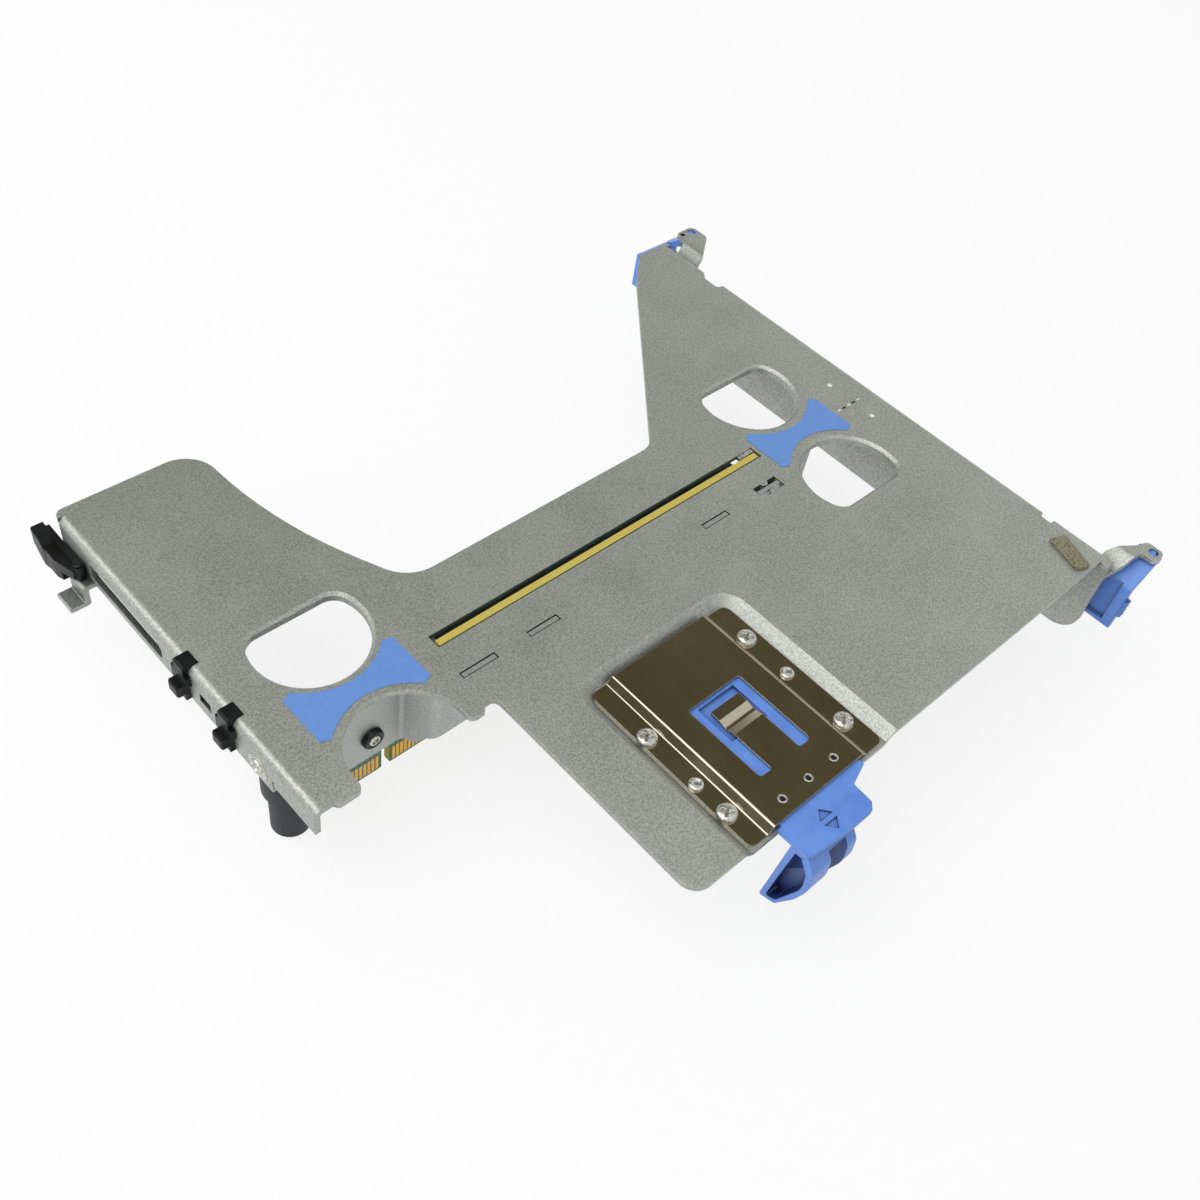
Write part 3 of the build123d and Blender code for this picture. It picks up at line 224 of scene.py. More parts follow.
def circuit_board():
    """Glass-epoxy board: dark green solder mask on its faces, with paler copper runs under the
    mask, and bare yellow laminate in thin layers on its routed edges."""
    material, tree, place = start("glass_epoxy_board")
    mask, grain = speckle(tree, place, 1.2, "#174a33", "#1d5a3e")
    # One run every 1.3 mm down the board; the wave texture's own repeat is 0.314 over its scale
    runs = add(tree, "TexWave", {"Scale": 0.314 * per(1.3), "Distortion": 0.0}, {"Vector": place},
               bands_direction="X")
    patch = add(tree, "TexNoise", {"Scale": per(17), "Detail": 0.0}, {"Vector": place})
    there = add(tree, "MapRange", {"From Min": 0.49, "From Max": 0.51}, {"Value": patch.outputs["Fac"]})
    line = add(tree, "MapRange", {"From Min": 0.62, "From Max": 0.7}, {"Value": runs.outputs["Fac"]})
    copper = add(tree, "Math", {}, {0: line.outputs["Result"], 1: there.outputs["Result"]},
                 operation="MULTIPLY")
    face = add(tree, "Mix", {7: colour("#2f7a55")}, {0: copper.outputs["Value"], 6: mask},
               data_type="RGBA")
    layers = add(tree, "TexWave", {"Scale": 0.314 * per(0.45), "Distortion": 1.5, "Detail": 2.0},
                 {"Vector": place}, bands_direction="Y")
    laminate = add(tree, "Mix", {6: colour("#b5a545"), 7: colour("#cdbf60")}, {0: layers.outputs["Fac"]},
                   data_type="RGBA")
    facing = add(tree, "SeparateXYZ", {}, {0: add(tree, "TexCoord").outputs["Normal"]})
    side = add(tree, "Math", {}, {0: facing.outputs["Y"]}, operation="ABSOLUTE")
    is_face = add(tree, "MapRange", {"From Min": 0.9, "From Max": 0.95}, {"Value": side.outputs["Value"]})
    tone = add(tree, "Mix", {}, {0: is_face.outputs["Result"], 6: laminate.outputs[2], 7: face.outputs[2]},
               data_type="RGBA")
    rough = add(tree, "MapRange", {"To Min": 0.75, "To Max": 0.3}, {"Value": is_face.outputs["Result"]})
    bump = add(tree, "Bump", {"Strength": 0.3, "Distance": 0.03 * MM}, {"Height": copper.outputs["Value"]})
    finish(tree, {"IOR": 1.52},
           {"Base Color": tone.outputs[2], "Roughness": rough.outputs["Result"],
            "Normal": bump.outputs["Normal"]})
    return material


def plated_metal(name, dark, light, roughness, grain=0.6):
    """Thin bright plating over turned or stamped metal: slight tone changes and fine tool lines."""
    material, tree, place = start(name)
    tone, broad = speckle(tree, place, grain, dark, light)
    rounded = add(tree, "Bevel", {"Radius": 0.1 * MM}, samples=3)
    bump = add(tree, "Bump", {"Strength": 0.1, "Distance": 0.02 * MM},
               {"Height": broad, "Normal": rounded.outputs["Normal"]})
    rough = add(tree, "MapRange",
                {"From Min": 0.3, "From Max": 0.7, "To Min": roughness - 0.04, "To Max": roughness + 0.06},
                {"Value": broad})
    finish(tree, {"Metallic": 1.0},
           {"Base Color": tone, "Roughness": rough.outputs["Result"], "Normal": bump.outputs["Normal"]})
    return material


def conductive_foam():
    """Cut open-cell foam: dull tan, full of small dark pores."""
    material, tree, place = start("conductive_foam")
    pores = add(tree, "TexVoronoi", {"Scale": per(0.7), "Randomness": 1.0}, {"Vector": place})
    wall = add(tree, "MapRange", {"From Min": 0.1, "From Max": 0.6}, {"Value": pores.outputs["Distance"]})
    tone = add(tree, "Mix", {6: colour("#5d5b48"), 7: colour("#88846d")}, {0: wall.outputs["Result"]},
               data_type="RGBA")
    bump = add(tree, "Bump", {"Strength": 0.5, "Distance": 0.12 * MM}, {"Height": wall.outputs["Result"]})
    finish(tree, {"Roughness": 0.95}, {"Base Color": tone.outputs[2], "Normal": bump.outputs["Normal"]})
    return material


def pale_floor():
    """Matt white studio paper with a barely visible tooth. To the camera and to the metal's
    reflections it is mostly self-white, which keeps the shadow but lightens it."""
    material, tree, place = start("white_studio_paper")
    tone, tooth = speckle(tree, place, 3.0, "#f6f6f6", "#fafafa")
    paper = add(tree, "BsdfDiffuse", {}, {"Color": tone})
    white = add(tree, "Emission", {"Color": colour("#ffffff"), "Strength": 1.0})
    path = add(tree, "LightPath")
    glossy = add(tree, "Math", {}, {0: path.outputs["Is Glossy Ray"], 1: path.outputs["Is Transmission Ray"]},
                 operation="MAXIMUM")
    seen = add(tree, "Math", {}, {0: path.outputs["Is Camera Ray"], 1: glossy.outputs["Value"]},
               operation="MAXIMUM")
    share = add(tree, "MapRange", {"To Max": 0.82}, {"Value": seen.outputs["Value"]})
    mixed = add(tree, "MixShader", {}, {0: share.outputs["Result"], 1: paper.outputs["BSDF"],
                                        2: white.outputs["Emission"]})
    add(tree, "OutputMaterial", links={"Surface": mixed.outputs["Shader"]})
    return material


def dark_panel_paint():
    """Dark brown studio panel that only metal shows."""
    material, tree, place = start("dark_panel_paint")
    tone, patches = speckle(tree, place, 400.0, "#5e5a47", "#6f6a54")
    glow = add(tree, "Emission", {"Strength": 1.0}, {"Color": tone})
    add(tree, "OutputMaterial", links={"Surface": glow.outputs["Emission"]})
    return material


steel = zinc_coated_sheet("zinc_coated_sheet", "#949892", "#b6bab3")
bracket_steel = zinc_coated_sheet("zinc_coated_bracket", "#9b9f9b", "#b2b5b1", 0.15)
stainless = polished_stainless_spring()
# The navy shade colour is painted shade in the hollows of the blue levers and latch
blue_nylon = moulded_plastic("moulded_blue_nylon", "#5c87da", "#6693e3", 0.42, shade="#121a55")
black_nylon = moulded_plastic("moulded_black_nylon", "#0c0d0e", "#151718", 0.4, gloss=0.2)
slot_plastic = moulded_plastic("moulded_black_slot_body", "#0e0f11", "#151619", 0.45, grain=0.2, gloss=0.3)
pin_plastic = moulded_plastic("glass_filled_grey_nylon", "#222628", "#2d3234", 0.5, grain=0.45, gloss=0.25)
film = printed_film()
board = circuit_board()
gold = plated_metal("gold_plated_copper", "#c9962f", "#deb04c", 0.26)
bright_zinc = plated_metal("bright_zinc_plate", "#c4c4be", "#dcdcd6", 0.22)
black_zinc = plated_metal("blackened_steel", "#2e2f31", "#3c3e40", 0.4)
tinned = plated_metal("tinned_copper", "#b8b9b5", "#cfd0cc", 0.3)
foam = conductive_foam()
head_zinc = plated_metal("bright_zinc_heads", "#a3a39b", "#d6d6ce", 0.3, grain=0.5)
ceramic = moulded_plastic("fired_ceramic_body", "#8a7355", "#9a8262", 0.6, grain=0.2, edge_radius=0.06)
panel_paint = dark_panel_paint()
white_dot = moulded_plastic("white_marking_enamel", "#e6e7e4", "#f0f1ee", 0.5)

CAD_FINISHES = {
    "cage_plate": steel,
    "board_bracket": bracket_steel,
    "riser_board": board,
    "edge_fingers": gold,
    "card_slot": slot_plastic,
    "slot_contacts": gold,
    "board_screws": black_zinc,
    "board_spacers": bright_zinc,
    "guide_pin": pin_plastic,
    "guide_pin_rivet": bright_zinc,
    "retainer_plate": stainless,
    "retainer_screws": bright_zinc,
    "retainer_pins": bright_zinc,
    "slide_latch": blue_nylon,
    "rear_clip_outer": black_nylon,
    "rear_clip_inner": black_nylon,
    "card_latch": black_nylon,
    "card_latch_pin": black_zinc,
    "lever_right": blue_nylon,
    "lever_left": blue_nylon,
    "lever_spring": black_zinc,
    "touch_label_rear": film,
    "touch_label_front": film,
    "foam_pad": foam,
}


def dress_cad_nodes():
    """Give every CAD node its finish."""
    for node, material in CAD_FINISHES.items():
        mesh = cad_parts[node].data
        mesh.materials.clear()
        mesh.materials.append(material)


# Detail that the solids leave to the looks

def solids(node):
    """The low and high corner of each separate solid in a CAD node, sorted along X."""
    shape = bmesh.new()
    shape.from_mesh(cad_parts[node].data)
    bmesh.ops.remove_doubles(shape, verts=shape.verts, dist=0.001 * MM)
    left = set(shape.verts)
    boxes = []
    while left:
        reached = [left.pop()]
        places = []
        while reached:
            vertex = reached.pop()
            places.append(vertex.co.copy())
            for edge in vertex.link_edges:
                other = edge.other_vert(vertex)
                if other in left:
                    left.remove(other)
                    reached.append(other)
        low = Vector([min(place[i] for place in places) for i in range(3)])
        high = Vector([max(place[i] for place in places) for i in range(3)])
        boxes.append((low, high))
    shape.free()
    return sorted(boxes, key=lambda box: (box[0].x, box[0].y))


def turned(shape, profile, place, facing, finish_slot=0, steps=32):
    """Add a turned solid: its profile is (radius, height) pairs in millimetres along facing."""
    stand = Vector(facing).to_track_quat("Z", "Y").to_matrix()
    rings = []
    for radius, height in profile:
        ring = []
        for i in range(steps if radius else 1):
            angle = 2 * math.pi * i / steps
            corner = Vector((radius * math.cos(angle), radius * math.sin(angle), height)) * MM
            ring.append(shape.verts.new(place + stand @ corner))
        rings.append(ring)
    for lower, upper in zip(rings, rings[1:]):
        for i in range(steps):
            j = (i + 1) % steps
            corners = (lower[i % len(lower)], lower[j % len(lower)],
                       upper[j % len(upper)], upper[i % len(upper)])
            face = shape.faces.new(list(dict.fromkeys(corners)))
            face.material_index = finish_slot


def slab(shape, low, high, spin=0.0, finish_slot=0):
    """Add a box between two corners in metres, turned about its own vertical middle line."""
    middle = (low + high) / 2
    size = high - low
    place = Matrix.Translation(middle) @ Matrix.Rotation(spin, 4, "Z") @ Matrix.Diagonal((*size, 1))
    made = bmesh.ops.create_cube(shape, size=1, matrix=place)
    for face in {face for vertex in made["verts"] for face in vertex.link_faces}:
        face.material_index = finish_slot


def prism(shape, corners, low, high):
    """Add an upright prism on a list of (x, y) corners in drawing millimetres."""
    floor = [shape.verts.new(at(x, y, low)) for x, y in corners]
    roof = [shape.verts.new(at(x, y, high)) for x, y in corners]
    shape.faces.new(list(reversed(floor)))
    shape.faces.new(roof)
    for i in range(len(corners)):
        j = (i + 1) % len(corners)
        shape.faces.new((floor[i], floor[j], roof[j], roof[i]))


def loose(name, shape, *materials):
    """An object from a bmesh, smooth but for its real corners."""
    bmesh.ops.recalc_face_normals(shape, faces=shape.faces)
    mesh = bpy.data.meshes.new(name)
    shape.to_mesh(mesh)
    shape.free()
    for material in materials:
        mesh.materials.append(material)
    mesh.shade_smooth()
    mesh.set_sharp_from_angle(angle=math.radians(32))
    piece = bpy.data.objects.new(name, mesh)
    bpy.context.collection.objects.link(piece)
    return piece


def carve(piece, cutter):
    """Cut one object's shape out of another and delete the cutter."""
    cut = piece.modifiers.new("cut", "BOOLEAN")
    cut.object = cutter
    cut.solver = "EXACT"
    cut.use_self = True
    settle(piece)
    bpy.data.objects.remove(cutter)


def settle(piece):
    """Turn a piece's modifiers into mesh."""
    bpy.context.view_layer.update()
    done = piece.evaluated_get(bpy.context.evaluated_depsgraph_get())
    mesh = bpy.data.meshes.new_from_object(done)
    mesh.name = piece.name
    piece.modifiers.clear()
    piece.data = mesh


def cross_cutter(places, reach, width, depth):
    """The cross recesses of a set of screws, each at the top of its head."""
    shape = bmesh.new()
    for place in places:
        for long, short in ((reach, width), (width, reach)):
            corner = Vector((long, short, depth)) * MM
            slab(shape, place - corner, place + corner, spin=math.radians(33))
    return loose("cross_cutter", shape)


# Screw head, pin head and rivet outlines, as (radius, height) in millimetres from the seat
PAN_HEAD = ((0, 0), (2.05, 0), (2.1, 0.2), (2.08, 0.45), (1.95, 0.75), (1.65, 1.0), (1.2, 1.14),
            (0.6, 1.19), (0, 1.2))
PIN_HEAD = ((0, 0), (1.5, 0), (1.5, 0.3), (1.42, 0.5), (1.15, 0.66), (0.95, 0.7), (0.75, 0.6),
            (0, 0.56))
RIVET_HEAD = ((0, 0), (2.9, 0), (2.88, 0.1), (2.7, 0.16), (2.1, 0.12), (1.9, 0.16), (1.8, 0.4),
              (1.5, 0.62), (1.2, 0.66), (0.9, 0.55), (0.75, 0.2), (0, 0.16))
BOARD_COLLAR = ((0, 0), (2.4, 0), (2.4, 0.75), (2.25, 1.15), (1.9, 1.32), (1.45, 1.2), (1.35, 0.8),
                (0, 0.8))
BOARD_STUD = ((0, 0.7), (1.3, 0.7), (1.28, 1.25), (1.1, 1.42), (0.75, 1.44), (0.7, 1.0), (0, 0.95))


def make_retainer_fasteners():
    """Four domed cross-head screws and two dimpled pins on the retainer."""
    screws = bmesh.new()
    tops = []
    for low, high in solids("retainer_screws"):
        seat = Vector(((low.x + high.x) / 2, (low.y + high.y) / 2, high.z - PAN_HEAD[-1][1] * MM))
        turned(screws, PAN_HEAD, seat, (0, 0, 1))
        shank = ((0, 0), (1.0, 0), (1.0, (seat.z - low.z) / MM), (0, (seat.z - low.z) / MM))
        turned(screws, shank, Vector((seat.x, seat.y, low.z)), (0, 0, 1), steps=16)
        tops.append(Vector((seat.x, seat.y, high.z)))
    piece = loose("retainer_pan_head_screws", screws, head_zinc)
    carve(piece, cross_cutter(tops, reach=1.25, width=0.3, depth=0.6))
    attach(piece, "cage")
    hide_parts("retainer_screws")
    pins = bmesh.new()
    for low, high in solids("retainer_pins"):
        seat = Vector(((low.x + high.x) / 2, (low.y + high.y) / 2, high.z - 0.7 * MM))
        turned(pins, PIN_HEAD, seat, (0, 0, 1))
        shank = ((0, 0), (0.9, 0), (0.9, (seat.z - low.z) / MM), (0, (seat.z - low.z) / MM))
        turned(pins, shank, Vector((seat.x, seat.y, low.z)), (0, 0, 1), steps=16)
    piece = loose("retainer_dimpled_pins", pins, head_zinc)
    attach(piece, "cage")
    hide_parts("retainer_pins")


def make_guide_pin_rivet():
    """The rolled rivet in the rear flange."""
    low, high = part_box("guide_pin_rivet")
    rivet = bmesh.new()
    seat = Vector((REAR_FACE_X * MM, (low.y + high.y) / 2, (low.z + high.z) / 2))
    turned(rivet, RIVET_HEAD, seat, (-1, 0, 0), steps=40)
    inward = (high.x - seat.x) / MM
    turned(rivet, ((0, 0), (1.2, 0), (1.2, inward), (0, inward)), seat, (1, 0, 0), steps=20)
    piece = loose("guide_pin_rolled_rivet", rivet, head_zinc)
    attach(piece, "cage")
    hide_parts("guide_pin_rivet")


def make_board_screws():
    """Two screws with a black collar and a bright stud end."""
    screws = bmesh.new()
    for low, high in solids("board_screws"):
        seat = Vector(((low.x + high.x) / 2, low.y + 1.5 * MM, (low.z + high.z) / 2))
        turned(screws, BOARD_COLLAR, seat, (0, -1, 0), finish_slot=0)
        turned(screws, BOARD_STUD, seat, (0, -1, 0), finish_slot=1)
        inward = (high.y - seat.y) / MM
        turned(screws, ((0, 0), (1.25, 0), (1.25, inward), (0, inward)), seat, (0, 1, 0),
               finish_slot=1, steps=20)
    piece = loose("board_collar_screws", screws, black_zinc, head_zinc)
    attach(piece, "cage")
    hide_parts("board_screws")


def make_lever_spring():
    """The round-wire coil spring behind the right lever, with closed end turns."""
    low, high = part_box("lever_spring")
    wire = 0.25 * MM
    middle = (low + high) / 2
    radius = (high.y - low.y) / 2 - wire
    curve = bpy.data.curves.new("lever_coil_spring", "CURVE")
    curve.dimensions = "3D"
    curve.bevel_depth = wire
    curve.bevel_resolution = 4
    curve.use_fill_caps = True
    turns = 4.5
    count = 110
    spline = curve.splines.new("POLY")
    spline.points.add(count - 1)
    for i, point in enumerate(spline.points):
        share = i / (count - 1)
        angle = share * turns * 2 * math.pi
        climb = min(max((share * turns - 0.75) / (turns - 1.5), 0), 1)
        x = low.x + wire + climb * (high.x - low.x - 2 * wire)
        point.co = (x, middle.y + radius * math.cos(angle), middle.z + radius * math.sin(angle), 1)
    curve.materials.append(black_zinc)
    piece = bpy.data.objects.new("lever_coil_spring", curve)
    bpy.context.collection.objects.link(piece)
    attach(piece, "cage")
    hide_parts("lever_spring")


# Middle of the arrow marks on the latch pad, their base, height and gap
ARROW_MIDDLE = (72.1, -75.2)
ARROW_HALF_BASE = 1.75
ARROW_HEIGHT = 2.1
ARROW_HALF_GAP = 0.5
PAD_TOP_Z = -0.75


def make_slide_latch():
    """The sliding latch with two opposed triangles sunk in its pad."""
    shape = bmesh.new()
    shape.from_mesh(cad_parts["slide_latch"].data)
    bmesh.ops.remove_doubles(shape, verts=shape.verts, dist=0.001 * MM)
    piece = loose("slide_latch_marked", shape, blue_nylon)
    marks = bmesh.new()
    x, y = ARROW_MIDDLE
    for way in (-1, 1):
        base = y + way * ARROW_HALF_GAP
        tip = base + way * ARROW_HEIGHT
        corners = [(x - ARROW_HALF_BASE, base), (x + ARROW_HALF_BASE, base), (x, tip)]
        prism(marks, corners, PAD_TOP_Z - 0.35, PAD_TOP_Z + 0.5)
    carve(piece, loose("arrow_cutter", marks))
    piece.data.shade_smooth()
    piece.data.set_sharp_from_angle(angle=math.radians(20))
    even = piece.modifiers.new("even", "WEIGHTED_NORMAL")
    even.keep_sharp = True
    settle(piece)
    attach(piece, "slide")
    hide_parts("slide_latch")


# The cut pad is a little narrower than the space kept for it, across its long side
FOAM_ACROSS = (0.93, 0.36, 0)
FOAM_SHRINK = 0.85


def make_foam_pad():
    """The foam pad: a soft slab with sunken edges and an uneven skin."""
    low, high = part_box("foam_pad")
    shape = bmesh.new()
    shape.from_mesh(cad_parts["foam_pad"].data)
    bmesh.ops.remove_doubles(shape, verts=shape.verts, dist=0.001 * MM)
    piece = loose("cut_foam_pad", shape, foam)
    fine = piece.modifiers.new("fine", "REMESH")
    fine.mode = "VOXEL"
    fine.voxel_size = 0.16 * MM
    settle(piece)
    middle = (low + high) / 2
    across = Vector(FOAM_ACROSS).normalized()
    for vertex in piece.data.vertices:
        off = (vertex.co - middle).dot(across)
        vertex.co -= across * off * (1 - FOAM_SHRINK)
        if vertex.co.z > low.z + 0.1 * MM:
            dip = noise.noise(vertex.co * per(0.9)) * 0.06 + noise.noise(vertex.co * per(0.4)) * 0.04
            vertex.co.z = min(vertex.co.z - (0.08 + dip) * MM, high.z)
    piece.data.shade_smooth()
    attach(piece, "cage")
    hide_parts("foam_pad")


# Board fittings in drawing millimetres: its two faces, and the rows below and behind the slot
BOARD_FRONT_Y = 0.45
BOARD_BACK_Y = -1.15
CAPACITOR_SPAN = (52, 128)
CAPACITOR_PITCH = 4.75
CAPACITOR_Z = -18.4
TAIL_SPAN = (47.5, 131.5)
TAIL_ROWS_Z = (-9.4, -10.6, -12.6, -13.8)


def make_board_fittings():
    """Bypass capacitors below the slot, and the soldered ends of the slot's pins behind it."""
    capacitors = bmesh.new()
    count = int((CAPACITOR_SPAN[1] - CAPACITOR_SPAN[0]) / CAPACITOR_PITCH) + 1
    for i in range(count):
        x = CAPACITOR_SPAN[0] + i * CAPACITOR_PITCH
        slab(capacitors, at(x - 0.3, BOARD_FRONT_Y, CAPACITOR_Z - 0.25),
             at(x + 0.3, BOARD_FRONT_Y + 0.5, CAPACITOR_Z + 0.25), finish_slot=0)
        for end in (-0.5, 0.3):
            slab(capacitors, at(x + end, BOARD_FRONT_Y, CAPACITOR_Z - 0.27),
                 at(x + end + 0.2, BOARD_FRONT_Y + 0.52, CAPACITOR_Z + 0.27), finish_slot=1)
    piece = loose("bypass_capacitors", capacitors, ceramic, tinned)
    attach(piece, "cage")
    tails = bmesh.new()
    cone = ((0.52, 0), (0.3, 0.25), (0.2, 0.55), (0.12, 0.8), (0, 0.82))
    for row, z in enumerate(TAIL_ROWS_Z):
        for i in range(int(TAIL_SPAN[1] - TAIL_SPAN[0]) // 2 + 1):
            x = TAIL_SPAN[0] + 2 * i + (row % 2)
            turned(tails, cone, at(x, BOARD_BACK_Y, z), (0, -1, 0), steps=8)
    piece = loose("soldered_pin_tails", tails, tinned)
    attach(piece, "cage")


# Small marks pressed in the sheet near its front edge, and the clip at the end of the board slot
PRESSED_DOTS = ((168.0, 6.0), (168.0, -7.7))
PRESSED_BAR = (162.0, 171.0, -1.7)
SLOT_CLIP = ((129.3, 133.9), (0.75, 1.75))


def make_sheet_marks():
    """Two pressed pips, a row of stitches between them, and the steel clip in the slot's end."""
    marks = bmesh.new()
    pip = ((0.62, 0), (0.58, 0.04), (0.4, 0.07), (0, 0.08))
    for x, y in PRESSED_DOTS:
        turned(marks, pip, at(x, y, 0), (0, 0, 1), steps=20)
    start_x, end_x, y = PRESSED_BAR
    stitch = (end_x - start_x) / 5
    for i in range(5):
        x = start_x + i * stitch
        slab(marks, at(x, y - 0.22, -0.1), at(x + stitch * 0.62, y + 0.22, 0.07), finish_slot=i % 2)
    piece = loose("pressed_sheet_marks", marks, white_dot, black_zinc)
    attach(piece, "cage")
    clip = bmesh.new()
    (left, right), (near, far) = SLOT_CLIP
    slab(clip, at(left, near, -0.9), at(right, far, -0.12))
    piece = loose("slot_end_clip", clip, head_zinc)
    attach(piece, "cage")


# Eyelets near the retainer's front edge, and the shoulder that carries the card latch's hook
EYELETS_X = (68.0, 75.4, 82.8)
EYELETS_Y = -67.1
EYELET_RING = ((0.6, -0.35), (0.62, 0.0), (0.72, 0.05), (0.9, 0.04), (0.96, 0.0))
# The black disc 0.2 mm down that closes each eyelet is painted shade: it stands for the dark inside of the
# hole
EYELET_PAINTED_SHADE_FLOOR = ((0.66, -0.2), (0, -0.2))
SHOULDER = ((-0.45, 61.1), (-2.7, 61.3), (-4.1, 66.4), (-4.1, 70.6), (-0.45, 70.6))
SHOULDER_Z = (-8.8, -6.3)
KNEE = ((-0.45, 64.7), (-3.6, 64.9), (-4.1, 66.4), (-4.1, 70.6), (-0.45, 70.6))
KNEE_Z = (-11.3, -8.7)


def make_eyelets():
    """Three rolled eyelets in the retainer."""
    rings = bmesh.new()
    for x in EYELETS_X:
        turned(rings, EYELET_RING, at(x, EYELETS_Y, 0), (0, 0, 1), finish_slot=0, steps=24)
        # Each eyelet's black floor disc is painted shade of its hole
        turned(rings, EYELET_PAINTED_SHADE_FLOOR, at(x, EYELETS_Y, 0), (0, 0, 1), finish_slot=1, steps=24)
    piece = loose("retainer_eyelets", rings, head_zinc, black_zinc)
    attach(piece, "cage")


def make_latch_shoulder():
    """The web between the card latch's eye and its hook."""
    web = bmesh.new()
    prism(web, SHOULDER, *SHOULDER_Z)
    prism(web, KNEE, *KNEE_Z)
    piece = loose("card_latch_shoulder", web, black_nylon)
    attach(piece, "card_hook")


# Where the levers' back corners are trimmed: the right one's top, the left one's lower end
RIGHT_TRIM = ((176, -71.6), (184, -71.6), (184, -60), (176, -60))
RIGHT_TRIM_Z = (-12.5, 0)
LEFT_TRIM_Z = (-22, -16.6)
LEFT_TRIM = ((150, 55), (195, 55), (195, 95), (150, 95))


def make_trimmed_lever(node, body, corners, heights):
    """A corner lever with one hidden corner trimmed off."""
    shape = bmesh.new()
    shape.from_mesh(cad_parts[node].data)
    bmesh.ops.remove_doubles(shape, verts=shape.verts, dist=0.001 * MM)
    piece = loose(node + "_trimmed", shape, blue_nylon)
    trim = bmesh.new()
    prism(trim, corners, *heights)
    carve(piece, loose("lever_cutter", trim))
    piece.data.shade_smooth()
    piece.data.set_sharp_from_angle(angle=math.radians(20))
    even = piece.modifiers.new("even", "WEIGHTED_NORMAL")
    even.keep_sharp = True
    settle(piece)
    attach(piece, body)
    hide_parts(node)


LEVER_NUB_RIBS = 4


def make_lever_ribs():
    """Finger ribs on the nub of the right lever."""
    low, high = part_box("lever_right")
    ribs = bmesh.new()
    wall = low.x + 1.2 * MM
    for i in range(LEVER_NUB_RIBS):
        z = PLATE_TOP_Z - 10.9 - i * 1.35
        slab(ribs, Vector((wall - 0.9 * MM, low.y - 0.02 * MM, (z - 0.3) * MM)),
             Vector((wall + 0.9 * MM, low.y + 0.5 * MM, (z + 0.3) * MM)))
    piece = loose("lever_nub_ribs", ribs, blue_nylon)
    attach(piece, "right_lever")


# Studio: the dark panels a metre from the retainer, each as a bearing and a height angle in
# degrees and its half width and half height in metres. The first darkens the retainer's flat,
# the second the rear half of the sheet, and the third the retainer's step.
DARK_PANELS = (
    ("dark_ceiling", 28, 51, 0.25, 0.24),
    ("dark_curtain", 78, 47, 0.46, 0.42),
    ("dark_screen", 161, 26, 0.24, 0.15),
)


def make_floor():
    """A wide sheet of white paper under the cage."""
    low = cad_low[2]
    shape = bmesh.new()
    bmesh.ops.create_grid(shape, x_segments=8, y_segments=8, size=3.0)
    mesh = bpy.data.meshes.new("floor")
    shape.to_mesh(mesh)
    shape.free()
    mesh.materials.append(pale_floor())
    floor = bpy.data.objects.new("floor", mesh)
    floor.location = (0.1, 0, low - 0.0002)
    bpy.context.collection.objects.link(floor)


def make_dark_panel(name, bearing, height, half_width, half_height):
    """A dark panel seen only in the reflections of the metal."""
    shape = bmesh.new()
    bmesh.ops.create_grid(shape, x_segments=2, y_segments=2, size=1.0)
    mesh = bpy.data.meshes.new(name)
    shape.to_mesh(mesh)
    shape.free()
    mesh.materials.append(panel_paint)
    panel = bpy.data.objects.new(name, mesh)
    level = math.cos(math.radians(height))
    toward = Vector((level * math.cos(math.radians(bearing)), level * math.sin(math.radians(bearing)),
                     math.sin(math.radians(height))))
    panel.location = at(*RETAINER_MIDDLE) + toward
    panel.rotation_euler = toward.to_track_quat("Z", "Y").to_euler()
    panel.scale = (half_width, half_height, 1)
    for ray in ("camera", "diffuse", "transmission", "shadow", "volume_scatter"):
        setattr(panel, "visible_" + ray, False)
    bpy.context.collection.objects.link(panel)


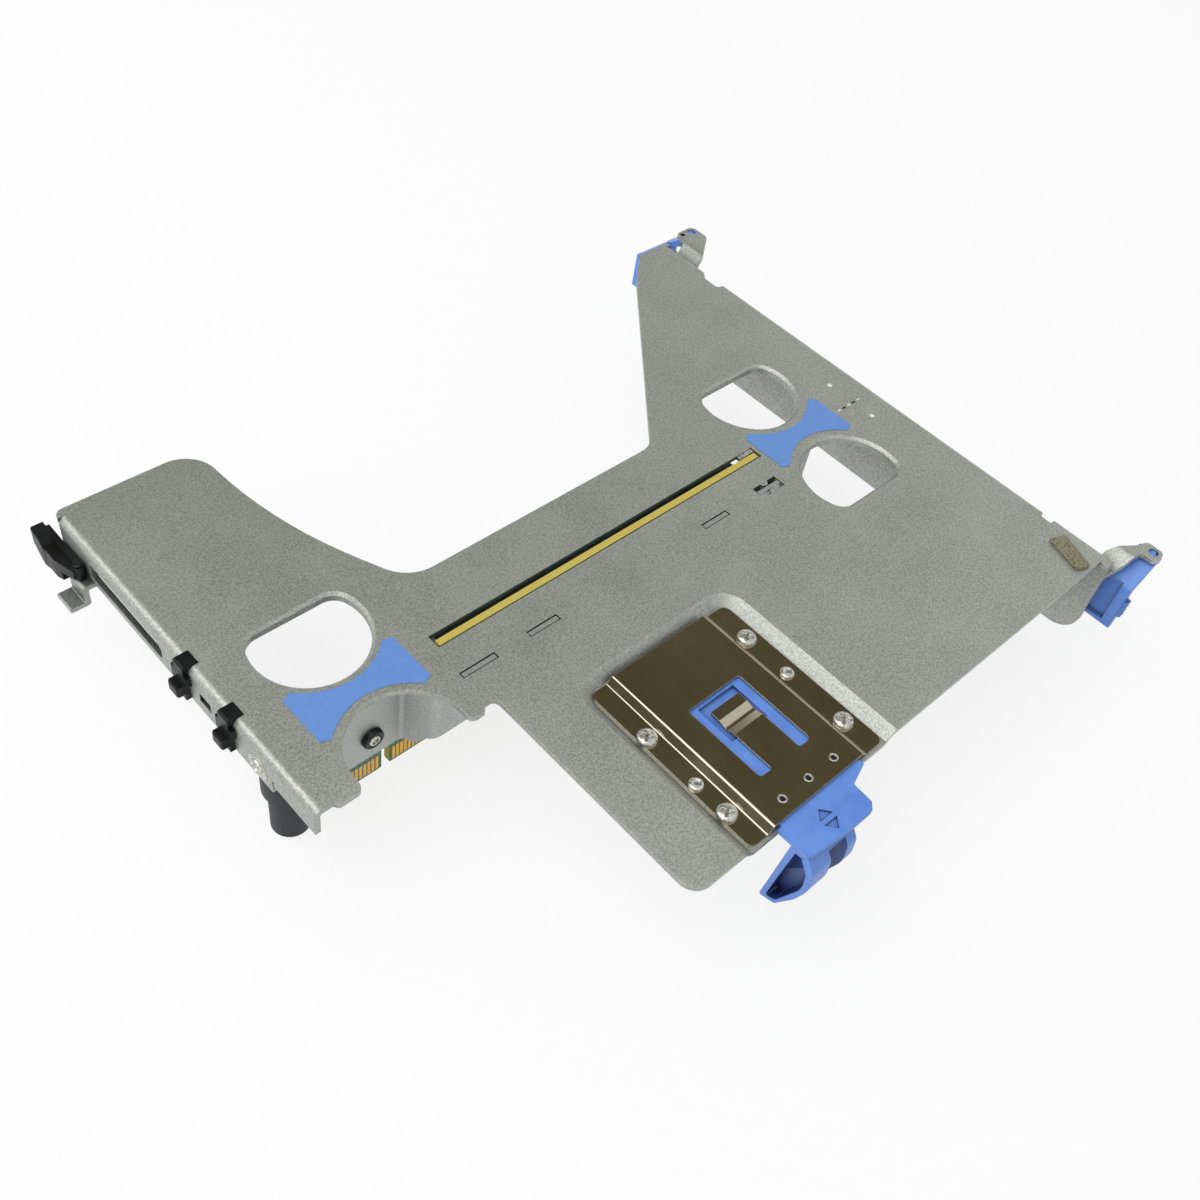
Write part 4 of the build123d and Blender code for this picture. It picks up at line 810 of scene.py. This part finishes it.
def make_lamp(name, place, aim, size, power):
    """A square soft box."""
    data = bpy.data.lights.new(name, "AREA")
    data.size = size
    data.energy = power
    lamp = bpy.data.objects.new(name, data)
    lamp.location = place
    lamp.rotation_euler = (Vector(aim) - Vector(place)).to_track_quat("-Z", "Y").to_euler()
    bpy.context.collection.objects.link(lamp)


def make_world():
    """An even white room, pure white where the camera sees it."""
    world = bpy.data.worlds.new("white_room")
    bpy.context.scene.world = world
    world.use_nodes = True
    tree = world.node_tree
    tree.nodes.clear()
    path = add(tree, "LightPath")
    seen = add(tree, "Math", {}, {0: path.outputs["Is Camera Ray"], 1: path.outputs["Is Glossy Ray"]},
               operation="MAXIMUM")
    strength = add(tree, "MapRange", {"To Min": 0.5, "To Max": 1.0}, {"Value": seen.outputs["Value"]})
    room = add(tree, "Background", {"Color": colour("#ffffff")}, {"Strength": strength.outputs["Result"]})
    add(tree, "OutputWorld", links={"Surface": room.outputs["Background"]})


def make_camera():
    """The photograph's camera."""
    data = bpy.data.cameras.new("camera")
    data.lens = CAMERA_LENS
    data.sensor_width = 36
    data.clip_start = 0.01
    data.clip_end = 10
    camera = bpy.data.objects.new("camera", data)
    place = Vector(CAMERA_FROM_DATUM) * MM
    aim = Vector(CAMERA_POINTS_AT) * MM
    level = (aim - place).to_track_quat("-Z", "Y").to_matrix()
    rolled = level @ Matrix.Rotation(CAMERA_ROLL, 3, "Z")
    camera.matrix_world = Matrix.Translation(place) @ rolled.to_4x4()
    bpy.context.collection.objects.link(camera)
    bpy.context.scene.camera = camera


dress_cad_nodes()
make_retainer_fasteners()
make_guide_pin_rivet()
make_board_screws()
make_lever_spring()
make_slide_latch()
make_foam_pad()
make_board_fittings()
make_sheet_marks()
make_eyelets()
make_latch_shoulder()
make_trimmed_lever("lever_right", "right_lever", RIGHT_TRIM, RIGHT_TRIM_Z)
make_trimmed_lever("lever_left", "left_lever", LEFT_TRIM, LEFT_TRIM_Z)
make_lever_ribs()
make_floor()
for panel in DARK_PANELS:
    make_dark_panel(*panel)
make_world()
make_lamp("key_softbox", (-0.5, 0.25, 0.9), (0.08, 0, 0), 1.3, 10)
make_camera()
bpy.context.scene.view_settings.view_transform = "Standard"
